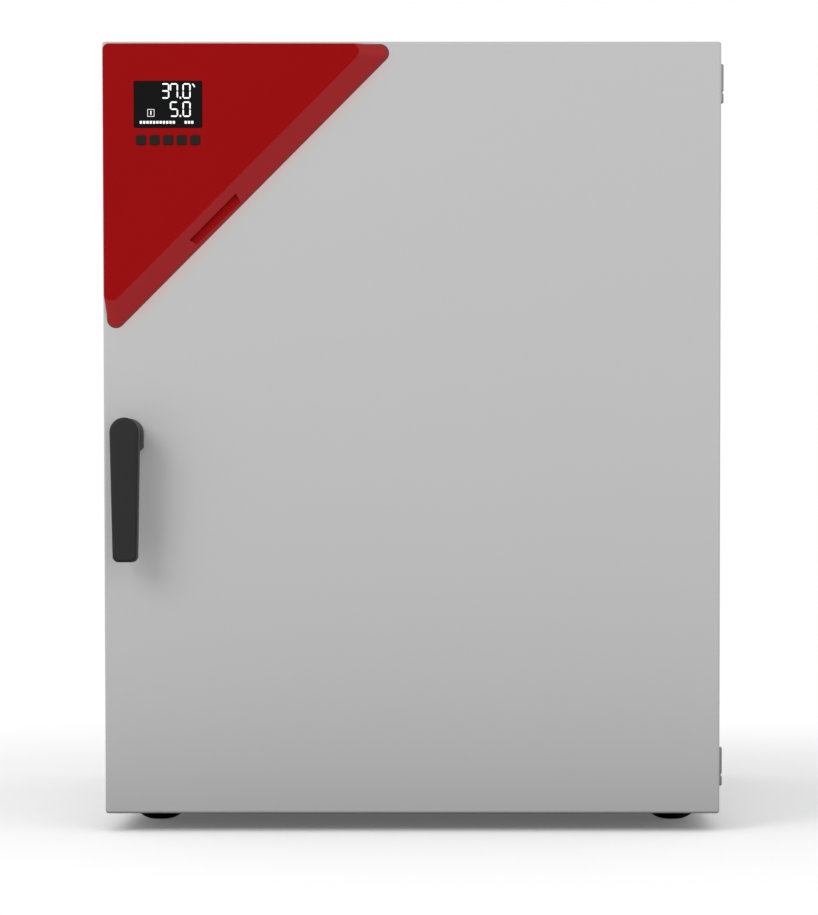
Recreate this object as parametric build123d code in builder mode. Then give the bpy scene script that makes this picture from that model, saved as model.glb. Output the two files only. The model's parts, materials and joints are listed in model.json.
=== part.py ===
from build123d import *
import math
import os

# Carbon dioxide incubator: an insulated bench cabinet with a deep-drawn inner
# chamber, a hinged outer door with a triangular control panel and a turning
# lever, an inner glass door, three slotted shelves and a water pan.
# Origin on the floor under the middle of the overall outline. +X to the right
# as one faces the door, +Y away from the viewer, +Z up. All sizes in mm.

# Overall body
body_width = 680.0
body_height = 850.0
body_depth = 715.0
foot_height = 20.0
handle_reach = 50.0
fitting_reach = 18.0

# Sheet thicknesses and general clearances
casing_sheet = 1.5
door_sheet = 1.5
chamber_sheet = 1.2
plate_sheet = 1.5
seat_gap = 0.3
running_gap = 0.05
bend_radius = 4.0
edge_radius = 3.0

# Outer door, from the outside inwards
door_thickness = 62.0
door_gap = 6.0
latch_zone = 37.0
gasket_width = 12.0
gasket_margin = 4.0
gasket_below = 47.0
gasket_above = 87.0
dish_depth = 12.0
dish_margin = 1.0
heater_thickness = 1.0

# Glass door and chamber mouth
rebate_depth = 12.0
glass_clearance = 12.0
glass_overlap = 10.0
glass_thickness = 5.0
seal_thickness = 6.0
seal_width = 6.0
mouth_radius = 20.0
flange_lap = 3.0
door_swing_axis_out = 4.0

# Shelves, ribs and water pan
first_shelf_rise = 120.0
top_shelf_space = 180.0
shelf_count = 3
rib_depth = 8.0
rib_height = 14.0
rib_front = 34.0
rib_rear = 26.0
rib_clear = 4.0
shelf_sheet = 1.5
shelf_side_gap = 1.5
shelf_set_back = 24.0
shelf_rear_gap = 10.0
shelf_lip = 12.0
slot_length = 190.0
slot_width = 9.0
slot_rows = 8
pan_side_gap = 22.0
pan_rear_gap = 40.0
pan_height = 46.0
pan_sheet = 1.2
pan_rim = 8.0
pan_corner = 28.0
pan_lean = 4.0
pan_bend = 7.0

# Control panel on the door, measured from the door's upper left corner
panel_left = 2.0
panel_top = 4.0
panel_lean = 3.4
panel_foot_line = 331.0
panel_face_line = 299.5
panel_rise = 12.0
panel_wall = 2.5
panel_corner = 7.0
panel_tip = 9.0
panel_rim = 1.0
panel_cavity_line = 292.0
window_left = 36.4
window_top = 45.2
window_width = 74.7
window_height = 50.9
window_ledge = 4.0
lens_thickness = 1.6
display_depth = 6.0
key_size = 10.7
key_pitch = 14.8
key_gap = 0.2
key_first = 44.2
key_drop = 109.5
key_count = 5
key_proud = 0.8
key_travel = 0.8
key_flange = 1.0
key_stem = 1.3
board_thickness = 1.6
switch_height = 1.8

# Handle and latch
handle_drop = 429.5
handle_length = 157.4
handle_head = 15.9
handle_tip = 13.2
handle_tip_radius = 6.5
handle_thickness = 21.0
spindle_radius = 5.0
spindle_clear = 3.6
rose_radius = 16.0
rose_drop = 19.5
rose_cut = 4.0
rose_thickness = 4.0
bush_wall = 4.0
claw_thickness = 2.6
claw_angles = (150.0, 198.0)
claw_slot_start = 130.0
claw_slot_sweep = 52.0
keeper_inset = 11.0
keeper_radius = 2.6
keeper_head = 5.6
keeper_head_height = 1.8

# Outer hinges
knuckle_radius = 3.4
knuckle_round = 2.0
knuckle_edge = 0.8
pin_radius = 1.9
pin_collar = 0.4
leaf_thickness = 2.4
leaf_width = 14.0
leaf_height = 44.0
short_knuckle = 11.0
knuckle_gap = 2.6
upper_hinge_drop = 15.0
lower_hinge_rise = 25.0

# Glass door hinges and latch
glass_pin_radius = 1.5
glass_knuckle_radius = 3.5
glass_hinge_height = 30.0
glass_hinge_inset = 65.0
glass_leaf_width = 26.0
turn_button_inset = 14.0
turn_button_length = 46.0
turn_button_width = 12.0
turn_button_hub = 8.0
turn_button_nose = (20.0, 9.0)
turn_post_radius = 3.0
turn_post_flange = 9.0
turn_post_head = 5.0
catch_height = 16.0
catch_lip = 8.0

# Feet
foot_radius = 29.0
foot_flat = 9.0
stud_radius = 5.0
foot_side_inset = 45.0
foot_front_inset = 142.0
foot_rear_inset = 70.0
boss_height = 16.0

# Rear compartment and services
top_insulation = 54.0
rear_insulation = 54.0
rear_compartment = 80.0
base_pan_height = 20.0
rear_flange = 14.0
column_inset = 160.0
column_back = 27.0
nozzle_drop = 125.0
filter_drop = 115.0
valve_drop = 125.0
inlet_drop = 130.0
power_inlet_inset = 120.0
power_inlet_rise = 70.0
hose_radius = 4.0
hose_bore = 2.5
hose_bend = 27.0
nipple_gap = 0.05
nipple_length = 12.0

# Places worked out from the sizes above
half_width = body_width / 2
top_z = foot_height + body_height
front_y = handle_reach - (handle_reach + body_depth + fitting_reach) / 2
rear_y = front_y + body_depth
door_back_y = front_y + door_thickness
casing_y = door_back_y + door_gap
flange_y = casing_y + rebate_depth
inside_x = half_width - casing_sheet
inside_top = top_z - casing_sheet
gasket_out_x = half_width - latch_zone
gasket_in_x = gasket_out_x - gasket_width
gasket_low = foot_height + gasket_below
gasket_high = top_z - gasket_above
mouth_mid_z = (gasket_low + gasket_high) / 2
gasket_tall = gasket_high - gasket_low
rebate_x = gasket_in_x - gasket_margin
rebate_tall = gasket_tall - 2 * (gasket_width + gasket_margin)
glass_x = rebate_x - glass_clearance
glass_tall = rebate_tall - 2 * glass_clearance
chamber_x = glass_x - glass_overlap
chamber_tall = glass_tall - 2 * glass_overlap
chamber_low = mouth_mid_z - chamber_tall / 2
chamber_high = mouth_mid_z + chamber_tall / 2
service_y = rear_y - rear_compartment
chamber_rear_y = service_y - rear_insulation - chamber_sheet
chamber_depth = chamber_rear_y - flange_y
tray_z = chamber_high + chamber_sheet + top_insulation
shelf_pitch = (chamber_tall - first_shelf_rise - top_shelf_space) / (shelf_count - 1)
shelf_depth = chamber_depth - shelf_set_back - shelf_rear_gap
rib_length = chamber_depth - rib_front - rib_rear
pan_width = 2 * (chamber_x - rib_depth - pan_side_gap)
pan_depth = chamber_depth - shelf_set_back - pan_rear_gap - 2 * pan_rim
glass_back_y = flange_y - seal_thickness - seat_gap
glass_front_y = glass_back_y - glass_thickness
panel_face_y = front_y - panel_rise
dish_y = door_back_y - dish_depth
handle_z = top_z - handle_drop
handle_x = -(gasket_out_x + spindle_clear + spindle_radius)
window_mid = (
    window_left + window_width / 2 - half_width,
    top_z - window_top - window_height / 2,
)
column_x = half_width - column_inset
nozzle_z = chamber_high - nozzle_drop
filter_z = nozzle_z - filter_drop
valve_z = filter_z - valve_drop
inlet_z = valve_z - inlet_drop
inlet_place = (half_width - power_inlet_inset, foot_height + power_inlet_rise)

os.makedirs("parts", exist_ok=True)


def facing(y):
    """Upright plane at depth y, drawn as seen from the front, growing towards the viewer."""
    return Plane.XZ.offset(-y)


def lathe_plane(x, z):
    """Plane for a profile turned about a line along Y: first the depth, then the radius."""
    return Plane(origin=(x, 0, z), x_dir=(0, 1, 0), z_dir=(1, 0, 0))


def on_door(u, v):
    """Point on the door, u to the right of its left edge and v below its top edge."""
    return (u - half_width, top_z - v)


# Outer casing: one folded sheet over the top and both sides, with a rear return flange
screw_inset = rear_flange / 2
screw_x = inside_x - screw_inset
screw_low = foot_height + screw_inset
screw_high = inside_top - screw_inset
screw_radius = 2.0
screw_places = [
    (side * screw_x, screw_low + step * (screw_high - screw_low) / 2)
    for side in (-1, 1)
    for step in range(3)
]
with BuildPart() as outer_casing:
    with BuildSketch(facing(rear_y)):
        with Locations((0, (foot_height + top_z) / 2)):
            Rectangle(body_width, body_height)
    extrude(amount=rear_y - casing_y)
    fillet(outer_casing.edges().filter_by(Axis.Y).group_by(Axis.Z)[-1], bend_radius)
    ends = outer_casing.faces().filter_by(Axis.Y)
    bottom = outer_casing.faces().filter_by(Axis.Z).sort_by(Axis.Z)[0]
    offset(amount=-casing_sheet, openings=[*ends, bottom])
    with BuildSketch(facing(rear_y - plate_sheet)):
        with Locations((0, (foot_height + inside_top) / 2)):
            Rectangle(2 * inside_x, inside_top - foot_height)
            Rectangle(
                2 * (inside_x - rear_flange),
                inside_top - foot_height - 2 * rear_flange,
                mode=Mode.SUBTRACT,
            )
        with Locations(*screw_places):
            Circle(screw_radius + running_gap, mode=Mode.SUBTRACT)
    extrude(amount=plate_sheet)
outer_casing.part.label = "outer_casing"
export_step(outer_casing.part, "parts/outer_casing.step")

# Base pan: a shallow tray with a threaded boss over each foot
foot_x = half_width - foot_side_inset
foot_front_y = front_y + foot_front_inset
foot_rear_y = rear_y - foot_rear_inset
foot_places = {
    "foot_front_left": (-foot_x, foot_front_y),
    "foot_front_right": (foot_x, foot_front_y),
    "foot_rear_left": (-foot_x, foot_rear_y),
    "foot_rear_right": (foot_x, foot_rear_y),
}
pan_front_y = casing_y + plate_sheet
pan_rear_y = rear_y - 2 * plate_sheet
with BuildPart() as base_pan:
    with BuildSketch(Plane.XY.offset(foot_height)):
        with Locations((0, (pan_front_y + pan_rear_y) / 2)):
            Rectangle(2 * inside_x, pan_rear_y - pan_front_y)
    extrude(amount=base_pan_height)
    offset(amount=-plate_sheet, openings=base_pan.faces().sort_by(Axis.Z)[-1])
    with BuildSketch(Plane.XY.offset(foot_height)):
        with Locations(*foot_places.values()):
            Circle(2 * stud_radius)
    extrude(amount=boss_height)
    with BuildSketch(Plane.XY.offset(foot_height)):
        with Locations(*foot_places.values()):
            Circle(stud_radius + running_gap)
    extrude(amount=boss_height, mode=Mode.SUBTRACT)
base_pan.part.label = "base_pan"
export_step(base_pan.part, "parts/base_pan.step")

# Feet: bowl-shaped pads on levelling studs
for foot_name, (x, y) in foot_places.items():
    with BuildPart() as foot:
        with BuildSketch(Plane(origin=(x, y, 0), x_dir=(1, 0, 0), z_dir=(0, -1, 0))):
            with BuildLine():
                Line((0, 0), (foot_flat, 0))
                ThreePointArc(
                    (foot_flat, 0),
                    (0.72 * foot_radius, 0.2 * foot_height),
                    (foot_radius, 0.65 * foot_height),
                )
                Polyline(
                    (foot_radius, 0.65 * foot_height),
                    (foot_radius, 0.85 * foot_height),
                    (foot_radius - 3, foot_height),
                    (stud_radius, foot_height),
                    (stud_radius, foot_height + boss_height - 1),
                    (stud_radius - 1, foot_height + boss_height),
                    (0, foot_height + boss_height),
                    (0, 0),
                )
            make_face()
        revolve(axis=Axis((x, y, 0), (0, 0, 1)))
    foot.part.label = foot_name
    export_step(foot.part, f"parts/{foot_name}.step")

# Front frame: the face of the cabinet with a rebate for the glass door
rebate_radius = mouth_radius + glass_overlap / 2
stud_x = -(half_width - keeper_inset)
with BuildPart() as front_frame:
    with BuildSketch(facing(casing_y + plate_sheet)):
        with Locations((0, (foot_height + inside_top) / 2)):
            RectangleRounded(2 * inside_x, inside_top - foot_height, bend_radius)
        with Locations((0, mouth_mid_z)):
            RectangleRounded(2 * rebate_x, rebate_tall, rebate_radius, mode=Mode.SUBTRACT)
        with Locations((stud_x, handle_z)):
            Circle(keeper_radius, mode=Mode.SUBTRACT)
    extrude(amount=plate_sheet)
    with BuildSketch(facing(flange_y)):
        with Locations((0, mouth_mid_z)):
            RectangleRounded(
                2 * (rebate_x + chamber_sheet),
                rebate_tall + 2 * chamber_sheet,
                rebate_radius + chamber_sheet,
            )
            RectangleRounded(2 * rebate_x, rebate_tall, rebate_radius, mode=Mode.SUBTRACT)
    extrude(amount=rebate_depth)
    rim = front_frame.faces().filter_by(Axis.Y).sort_by(Axis.Y)[0].inner_wires()
    fillet(rim.sort_by(SortBy.LENGTH)[-1].edges(), 1.0)
front_frame.part.label = "front_frame"
export_step(front_frame.part, "parts/front_frame.step")

# Sensor, probe and nozzle places on the chamber's rear wall
nozzle_x = column_x
sensor_x = -60.0
sensor_z = chamber_high - 75
probe_x = -150.0
probe_z = chamber_high - 75
stem_radius = 9.0
nozzle_stem = 5.0
probe_stem = 3.0
stem_gap = 0.4
wall_stems = [
    (nozzle_x, nozzle_z, nozzle_stem),
    (sensor_x, sensor_z, stem_radius),
    (probe_x, probe_z, probe_stem),
]


def rib_section(side, level, upward, sheet):
    """Corners of a pressed rib's section: its chamber side at sheet 0, or the hollow behind it."""
    wall = side * (chamber_x + sheet)
    crest = side * (chamber_x - rib_depth + sheet)
    near = level - upward * sheet
    waist = level - upward * (rib_height - sheet) / 2
    far = level - upward * (rib_height - sheet)
    return [(wall, near), (crest, near), (crest, waist), (wall, far)]


# Inner chamber: deep-drawn sheet with rounded corners, a mouth flange and pressed ribs
shelf_levels = [chamber_low + first_shelf_rise + n * shelf_pitch for n in range(shelf_count)]
rib_sets = []
for level in shelf_levels:
    rib_sets.append((level, 1))
    rib_sets.append((level + shelf_sheet + rib_clear, -1))
with BuildPart() as inner_chamber:
    with BuildSketch(facing(chamber_rear_y + chamber_sheet)):
        with Locations((0, mouth_mid_z)):
            RectangleRounded(
                2 * (chamber_x + chamber_sheet),
                chamber_tall + 2 * chamber_sheet,
                mouth_radius + chamber_sheet,
            )
    extrude(amount=chamber_depth + chamber_sheet)
    back = inner_chamber.faces().sort_by(Axis.Y)[-1]
    fillet(back.edges(), mouth_radius)
    mouth = inner_chamber.faces().sort_by(Axis.Y)[0]
    offset(amount=-chamber_sheet, openings=mouth)
    with BuildSketch(facing(flange_y + chamber_sheet)):
        with Locations((0, mouth_mid_z)):
            RectangleRounded(
                2 * (rebate_x + flange_lap),
                rebate_tall + 2 * flange_lap,
                rebate_radius + flange_lap,
            )
            RectangleRounded(2 * chamber_x, chamber_tall, mouth_radius, mode=Mode.SUBTRACT)
    extrude(amount=chamber_sheet)
    for side in (-1, 1):
        for level, upward in rib_sets:
            with BuildSketch(facing(flange_y + rib_front + rib_length)):
                with BuildLine():
                    Polyline(*rib_section(side, level, upward, 0), close=True)
                make_face()
            extrude(amount=rib_length)
            with BuildSketch(facing(flange_y + rib_front + rib_length - chamber_sheet)):
                with BuildLine():
                    Polyline(*rib_section(side, level, upward, chamber_sheet), close=True)
                make_face()
            extrude(amount=rib_length - 2 * chamber_sheet, mode=Mode.SUBTRACT)
    for x, z, radius in wall_stems:
        with BuildSketch(facing(chamber_rear_y + 2 * chamber_sheet)):
            with Locations((x, z)):
                Circle(radius + stem_gap)
        extrude(amount=3 * chamber_sheet, mode=Mode.SUBTRACT)
inner_chamber.part.label = "inner_chamber"
export_step(inner_chamber.part, "parts/inner_chamber.step")

# Chamber heaters: thin foils against the outside of the chamber
foil_inset = 40.0
foil_mid_y = (flange_y + chamber_rear_y) / 2
foil_long = chamber_depth - 2 * foil_inset
with BuildPart() as chamber_heaters:
    for side in (-1, 1):
        with Locations(
            (side * (chamber_x + chamber_sheet + heater_thickness / 2), foil_mid_y, mouth_mid_z)
        ):
            Box(heater_thickness, foil_long, chamber_tall - 2 * foil_inset)
        with Locations(
            (
                0,
                foil_mid_y,
                mouth_mid_z + side * (chamber_tall / 2 + chamber_sheet + heater_thickness / 2),
            )
        ):
            Box(2 * (chamber_x - foil_inset), foil_long, heater_thickness)
chamber_heaters.part.label = "chamber_heaters"
export_step(chamber_heaters.part, "parts/chamber_heaters.step")

# Insulation: a moulded block round the chamber, stepped for the rebate and flange
lining_gap = heater_thickness + seat_gap
insulation_high = tray_z - seat_gap
insulation_front_y = casing_y + plate_sheet + seat_gap
insulation_rear_y = service_y - seat_gap
with BuildPart() as chamber_insulation:
    with BuildSketch(facing(insulation_rear_y)):
        with Locations((0, (foot_height + base_pan_height + insulation_high) / 2)):
            Rectangle(2 * (inside_x - seat_gap), insulation_high - foot_height - base_pan_height)
    extrude(amount=insulation_rear_y - insulation_front_y)
    with BuildSketch(facing(chamber_rear_y + chamber_sheet + lining_gap)):
        with Locations((0, mouth_mid_z)):
            RectangleRounded(
                2 * (chamber_x + chamber_sheet + lining_gap),
                chamber_tall + 2 * (chamber_sheet + lining_gap),
                mouth_radius,
            )
    extrude(amount=chamber_depth + rebate_depth + 2 * lining_gap, mode=Mode.SUBTRACT)
    with BuildSketch(facing(flange_y + chamber_sheet + seat_gap)):
        with Locations((0, mouth_mid_z)):
            RectangleRounded(
                2 * (rebate_x + flange_lap + seat_gap),
                rebate_tall + 2 * (flange_lap + seat_gap),
                rebate_radius + flange_lap,
            )
    extrude(amount=rebate_depth + 2 * plate_sheet, mode=Mode.SUBTRACT)
    for x, z, radius in wall_stems:
        with BuildSketch(facing(insulation_rear_y)):
            with Locations((x, z)):
                Circle(radius + stem_gap)
        extrude(amount=rear_insulation, mode=Mode.SUBTRACT)
chamber_insulation.part.label = "chamber_insulation"
export_step(chamber_insulation.part, "parts/chamber_insulation.step")

# Seal of the glass door on the chamber flange
with BuildPart() as glass_door_seal:
    with BuildSketch(facing(flange_y)):
        with Locations((0, mouth_mid_z)):
            RectangleRounded(
                2 * (chamber_x + seal_width + 1),
                chamber_tall + 2 * (seal_width + 1),
                mouth_radius + seal_width,
            )
            RectangleRounded(
                2 * (chamber_x + 1), chamber_tall + 2, mouth_radius, mode=Mode.SUBTRACT
            )
    extrude(amount=seal_thickness)
    lip = glass_door_seal.faces().sort_by(Axis.Y)[0]
    chamfer(lip.edges(), seal_width / 4)
glass_door_seal.part.label = "glass_door_seal"
export_step(glass_door_seal.part, "parts/glass_door_seal.step")

# Electronics tray above the insulation
tray_front_y = insulation_front_y
tray_rear_y = service_y
with BuildPart() as electronics_tray:
    with BuildSketch(Plane.XY.offset(tray_z)):
        with Locations((0, (tray_front_y + tray_rear_y) / 2)):
            Rectangle(2 * inside_x, tray_rear_y - tray_front_y)
    extrude(amount=base_pan_height)
    tray_ends = electronics_tray.faces().filter_by(Axis.Y)
    tray_top = electronics_tray.faces().sort_by(Axis.Z)[-1]
    offset(amount=-plate_sheet, openings=[*tray_ends, tray_top])
electronics_tray.part.label = "electronics_tray"
export_step(electronics_tray.part, "parts/electronics_tray.step")

# Power supply on the tray, a folded box with cooling slots
supply_share = 0.295
supply_size = (2 * inside_x * supply_share, 110.0, 42.0)
supply_wall_gap = 58.0
supply_place = (inside_x - supply_wall_gap - supply_size[0] / 2, 60.0)
vent_pitch = supply_size[0] / 11
vent_width = 6.0
vent_depth = 2.0
with BuildPart() as power_supply:
    with BuildSketch(Plane.XY.offset(tray_z + plate_sheet)):
        with Locations(supply_place):
            RectangleRounded(supply_size[0], supply_size[1], 3)
    extrude(amount=supply_size[2])
    with BuildSketch(Plane.XY.offset(tray_z + plate_sheet + supply_size[2] - vent_depth)):
        with Locations(supply_place):
            with GridLocations(vent_pitch, 0, 8, 1):
                Rectangle(vent_width, 0.7 * supply_size[1])
    extrude(amount=vent_depth, mode=Mode.SUBTRACT)
power_supply.part.label = "power_supply"
export_step(power_supply.part, "parts/power_supply.step")

# Controller board on standoffs, with its heat sink, relays and terminal row
controller_share = 0.34
controller_size = (2 * inside_x * controller_share, 150.0)
controller_wall_gap = 83.0
controller_place = (controller_wall_gap + controller_size[0] / 2 - inside_x, 40.0)
standoff_height = 8.0
standoff_radius = 3.5
standoff_inset = 6.0
relay_size = (30.0, 18.0, 16.0)
relay_pitch = 24.0
sink_size = (2.0, 60.0, 24.0)
sink_pitch = 9.0
sink_fins = 7
board_z = tray_z + plate_sheet + standoff_height
with BuildPart() as controller_board:
    with BuildSketch(Plane.XY.offset(board_z)):
        with Locations(controller_place):
            RectangleRounded(*controller_size, 3)
    extrude(amount=board_thickness)
    with BuildSketch(Plane.XY.offset(tray_z + plate_sheet)):
        with Locations(controller_place):
            with GridLocations(
                controller_size[0] - 2 * standoff_inset,
                controller_size[1] - 2 * standoff_inset,
                2,
                2,
            ):
                RegularPolygon(standoff_radius, 6)
    extrude(amount=standoff_height)
    with BuildSketch(Plane.XY.offset(board_z + board_thickness)):
        with Locations((controller_place[0] - controller_size[0] / 4, controller_place[1])):
            with GridLocations(0, relay_pitch, 1, 3):
                Rectangle(relay_size[0], relay_size[1])
    extrude(amount=relay_size[2])
    with BuildSketch(Plane.XY.offset(board_z + board_thickness)):
        with Locations((controller_place[0] + controller_size[0] / 4, controller_place[1])):
            with GridLocations(sink_pitch, 0, sink_fins, 1):
                Rectangle(sink_size[0], sink_size[1])
            Rectangle(sink_pitch * (sink_fins - 1), sink_size[1] / 10)
    extrude(amount=sink_size[2])
controller_board.part.label = "controller_board"
export_step(controller_board.part, "parts/controller_board.step")

# Service plate behind the insulation, a shallow channel with the filter saddle
saddle_half = 14.0
filter_radius = 25.0
filter_height = 16.0
column_y = service_y + plate_sheet + column_back
plate_low = foot_height + base_pan_height
plate_high = inside_top - bend_radius
with BuildPart() as service_plate:
    with BuildSketch(facing(service_y + plate_sheet)):
        with Locations((0, (plate_low + plate_high) / 2)):
            Rectangle(2 * (inside_x - seat_gap), plate_high - plate_low)
        for x, z, radius in wall_stems:
            with Locations((x, z)):
                Circle(radius + stem_gap, mode=Mode.SUBTRACT)
    extrude(amount=plate_sheet)
    for side in (-1, 1):
        with Locations(
            (
                side * (inside_x - seat_gap - plate_sheet / 2),
                service_y + plate_sheet + base_pan_height / 2,
                (plate_low + plate_high) / 2,
            )
        ):
            Box(plate_sheet, base_pan_height, plate_high - plate_low)
    with BuildSketch(Plane.XY.offset(filter_z - filter_height / 4)):
        with Locations((column_x, service_y + plate_sheet + column_back / 2)):
            Rectangle(2 * saddle_half, column_back)
        with Locations((column_x, column_y)):
            Circle(filter_radius + seat_gap, mode=Mode.SUBTRACT)
    extrude(amount=filter_height / 2)
service_plate.part.label = "service_plate"
export_step(service_plate.part, "parts/service_plate.step")

# Rear panel: a flat sheet with a louvre field and holes for the fittings
inlet_opening = (27.4, 20.2)
gas_hole = 6.5
louvre_drop = 110.0
louvre_pitch = (110.0, 14.0)
louvre_size = (80.0, 4.0)
with BuildPart() as rear_panel:
    with BuildSketch(facing(rear_y)):
        with Locations((0, (foot_height + inside_top) / 2)):
            RectangleRounded(2 * inside_x, inside_top - foot_height, bend_radius)
        with Locations((0, inside_top - louvre_drop)):
            with GridLocations(*louvre_pitch, 3, 7):
                Rectangle(*louvre_size, mode=Mode.SUBTRACT)
        with Locations(inlet_place):
            RectangleRounded(*inlet_opening, 3, mode=Mode.SUBTRACT)
        with Locations((column_x, inlet_z)):
            Circle(gas_hole, mode=Mode.SUBTRACT)
        with Locations(*screw_places):
            Circle(screw_radius + 0.2, mode=Mode.SUBTRACT)
    extrude(amount=plate_sheet)
rear_panel.part.label = "rear_panel"
export_step(rear_panel.part, "parts/rear_panel.step")

# Rear screws: pan heads on the panel, shanks through the casing's flange
screw_head = 2.0
with BuildPart() as rear_screws:
    with BuildSketch(facing(rear_y + screw_head)):
        with Locations(*screw_places):
            Circle(2 * screw_radius)
    extrude(amount=screw_head)
    fillet(rear_screws.faces().sort_by(Axis.Y)[-1].edges(), 0.4 * screw_head)
    with BuildSketch(facing(rear_y)):
        with Locations(*screw_places):
            Circle(screw_radius)
    extrude(amount=2 * plate_sheet)
rear_screws.part.label = "rear_screws"
export_step(rear_screws.part, "parts/rear_screws.step")

# Power inlet: three pins in a hooded socket, seated in the rear panel
inlet_x, inlet_mid_z = inlet_place
inlet_flange = (49.0, 28.0)
inlet_flange_thickness = 2.5
inlet_body_depth = 24.0
socket_size = (24.4, 16.4)
socket_depth = 16.0
socket_pins = [(-7.0, -2.0), (0.0, 2.0), (7.0, -2.0)]
with BuildPart() as power_inlet:
    with BuildSketch(facing(rear_y + inlet_flange_thickness)):
        with Locations(inlet_place):
            RectangleRounded(*inlet_flange, 4)
    extrude(amount=inlet_flange_thickness)
    with BuildSketch(facing(rear_y)):
        with Locations(inlet_place):
            RectangleRounded(inlet_opening[0] - 0.4, inlet_opening[1] - 0.4, 2.8)
    extrude(amount=inlet_body_depth)
    with BuildSketch(facing(rear_y + inlet_flange_thickness)):
        with Locations(inlet_place):
            RectangleRounded(*socket_size, 2.5)
    extrude(amount=socket_depth, mode=Mode.SUBTRACT)
    with BuildSketch(facing(rear_y)):
        for across, up in socket_pins:
            with Locations((inlet_x + across, inlet_mid_z + up)):
                Rectangle(2, 4)
    extrude(amount=socket_depth)
power_inlet.part.label = "power_inlet"
export_step(power_inlet.part, "parts/power_inlet.step")

# Gas inlet fitting: a hexagon body with a hose barb behind the cabinet
hexagon_radius = 10.0
nipple_radius = hose_bore - nipple_gap
bend_y = column_y + hose_bend + nipple_length
with BuildPart() as gas_inlet_fitting:
    with BuildSketch(facing(rear_y + 6)):
        with Locations((column_x, inlet_z)):
            RegularPolygon(hexagon_radius, 6)
    extrude(amount=6)
    with BuildSketch(lathe_plane(column_x, inlet_z)):
        with BuildLine():
            Polyline(
                (bend_y - nipple_length, 0),
                (bend_y - nipple_length, nipple_radius),
                (bend_y, nipple_radius),
                (bend_y, gas_hole - 0.3),
                (rear_y + 6, gas_hole - 0.3),
                (rear_y + 6, 3.2),
                (rear_y + 8, 3.2),
                (rear_y + 9, 4.2),
                (rear_y + 12.5, 3.2),
                (rear_y + 13.5, 4.2),
                (rear_y + fitting_reach, 3.0),
                (rear_y + fitting_reach, 0),
                close=True,
            )
        make_face()
    revolve(axis=Axis((column_x, 0, inlet_z), (0, 1, 0)))
gas_inlet_fitting.part.label = "gas_inlet_fitting"
export_step(gas_inlet_fitting.part, "parts/gas_inlet_fitting.step")

# Gas valve: a block on the service plate with a coil and two hose nipples
valve_block = (32.0, 34.0)
valve_height = 30.0
coil_radius = 14.0
coil_reach = 30.0
valve_y = service_y + plate_sheet
with BuildPart() as gas_valve:
    with BuildSketch(Plane.XY.offset(valve_z - valve_height / 2)):
        with Locations((column_x, valve_y + valve_block[1] / 2)):
            RectangleRounded(*valve_block, 3)
    extrude(amount=valve_height)
    with BuildSketch(Plane.XY.offset(valve_z - valve_height / 2 - nipple_length)):
        with Locations((column_x, column_y)):
            Circle(nipple_radius)
    extrude(amount=valve_height + 2 * nipple_length)
    with BuildSketch(Plane.YZ.offset(column_x + valve_block[0] / 2)):
        with Locations((valve_y + valve_block[1] / 2, valve_z)):
            Circle(coil_radius)
    extrude(amount=coil_reach)
    fillet(gas_valve.faces().sort_by(Axis.X)[-1].edges(), 2)
gas_valve.part.label = "gas_valve"
export_step(gas_valve.part, "parts/gas_valve.step")

# Sterile filter: a flat round capsule between two nipples
with BuildPart() as sterile_filter:
    with BuildSketch(Plane(origin=(column_x, column_y, 0), x_dir=(1, 0, 0), z_dir=(0, -1, 0))):
        with BuildLine():
            Polyline(
                (0, filter_z - filter_height / 2 - nipple_length),
                (nipple_radius, filter_z - filter_height / 2 - nipple_length),
                (nipple_radius, filter_z - filter_height / 2),
                (filter_radius - 8, filter_z - filter_height / 2),
                (filter_radius, filter_z - filter_height / 4),
                (filter_radius, filter_z + filter_height / 4),
                (filter_radius - 8, filter_z + filter_height / 2),
                (nipple_radius, filter_z + filter_height / 2),
                (nipple_radius, filter_z + filter_height / 2 + nipple_length),
                (0, filter_z + filter_height / 2 + nipple_length),
                close=True,
            )
        make_face()
    revolve(axis=Axis((column_x, column_y, 0), (0, 0, 1)))
sterile_filter.part.label = "sterile_filter"
export_step(sterile_filter.part, "parts/sterile_filter.step")

# Gas nozzle through the chamber's rear wall, with a round tip inside and a hose nipple behind
tail_y = column_y - hose_bend - nipple_length
stem_flange = 2.0
with BuildPart() as gas_nozzle:
    with BuildSketch(lathe_plane(nozzle_x, nozzle_z)):
        with BuildLine():
            Polyline(
                (chamber_rear_y - 30, 0),
                (chamber_rear_y - 30, nozzle_stem - 2),
                (chamber_rear_y - 28, nozzle_stem),
                (chamber_rear_y - stem_flange, nozzle_stem),
                (chamber_rear_y - stem_flange, 2 * nozzle_stem),
                (chamber_rear_y, 2 * nozzle_stem),
                (chamber_rear_y, nozzle_stem),
                (tail_y, nozzle_stem),
                (tail_y, nipple_radius),
                (tail_y + nipple_length, nipple_radius),
                (tail_y + nipple_length, 0),
                close=True,
            )
        make_face()
    revolve(axis=Axis((nozzle_x, 0, nozzle_z), (0, 1, 0)))
gas_nozzle.part.label = "gas_nozzle"
export_step(gas_nozzle.part, "parts/gas_nozzle.step")

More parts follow.
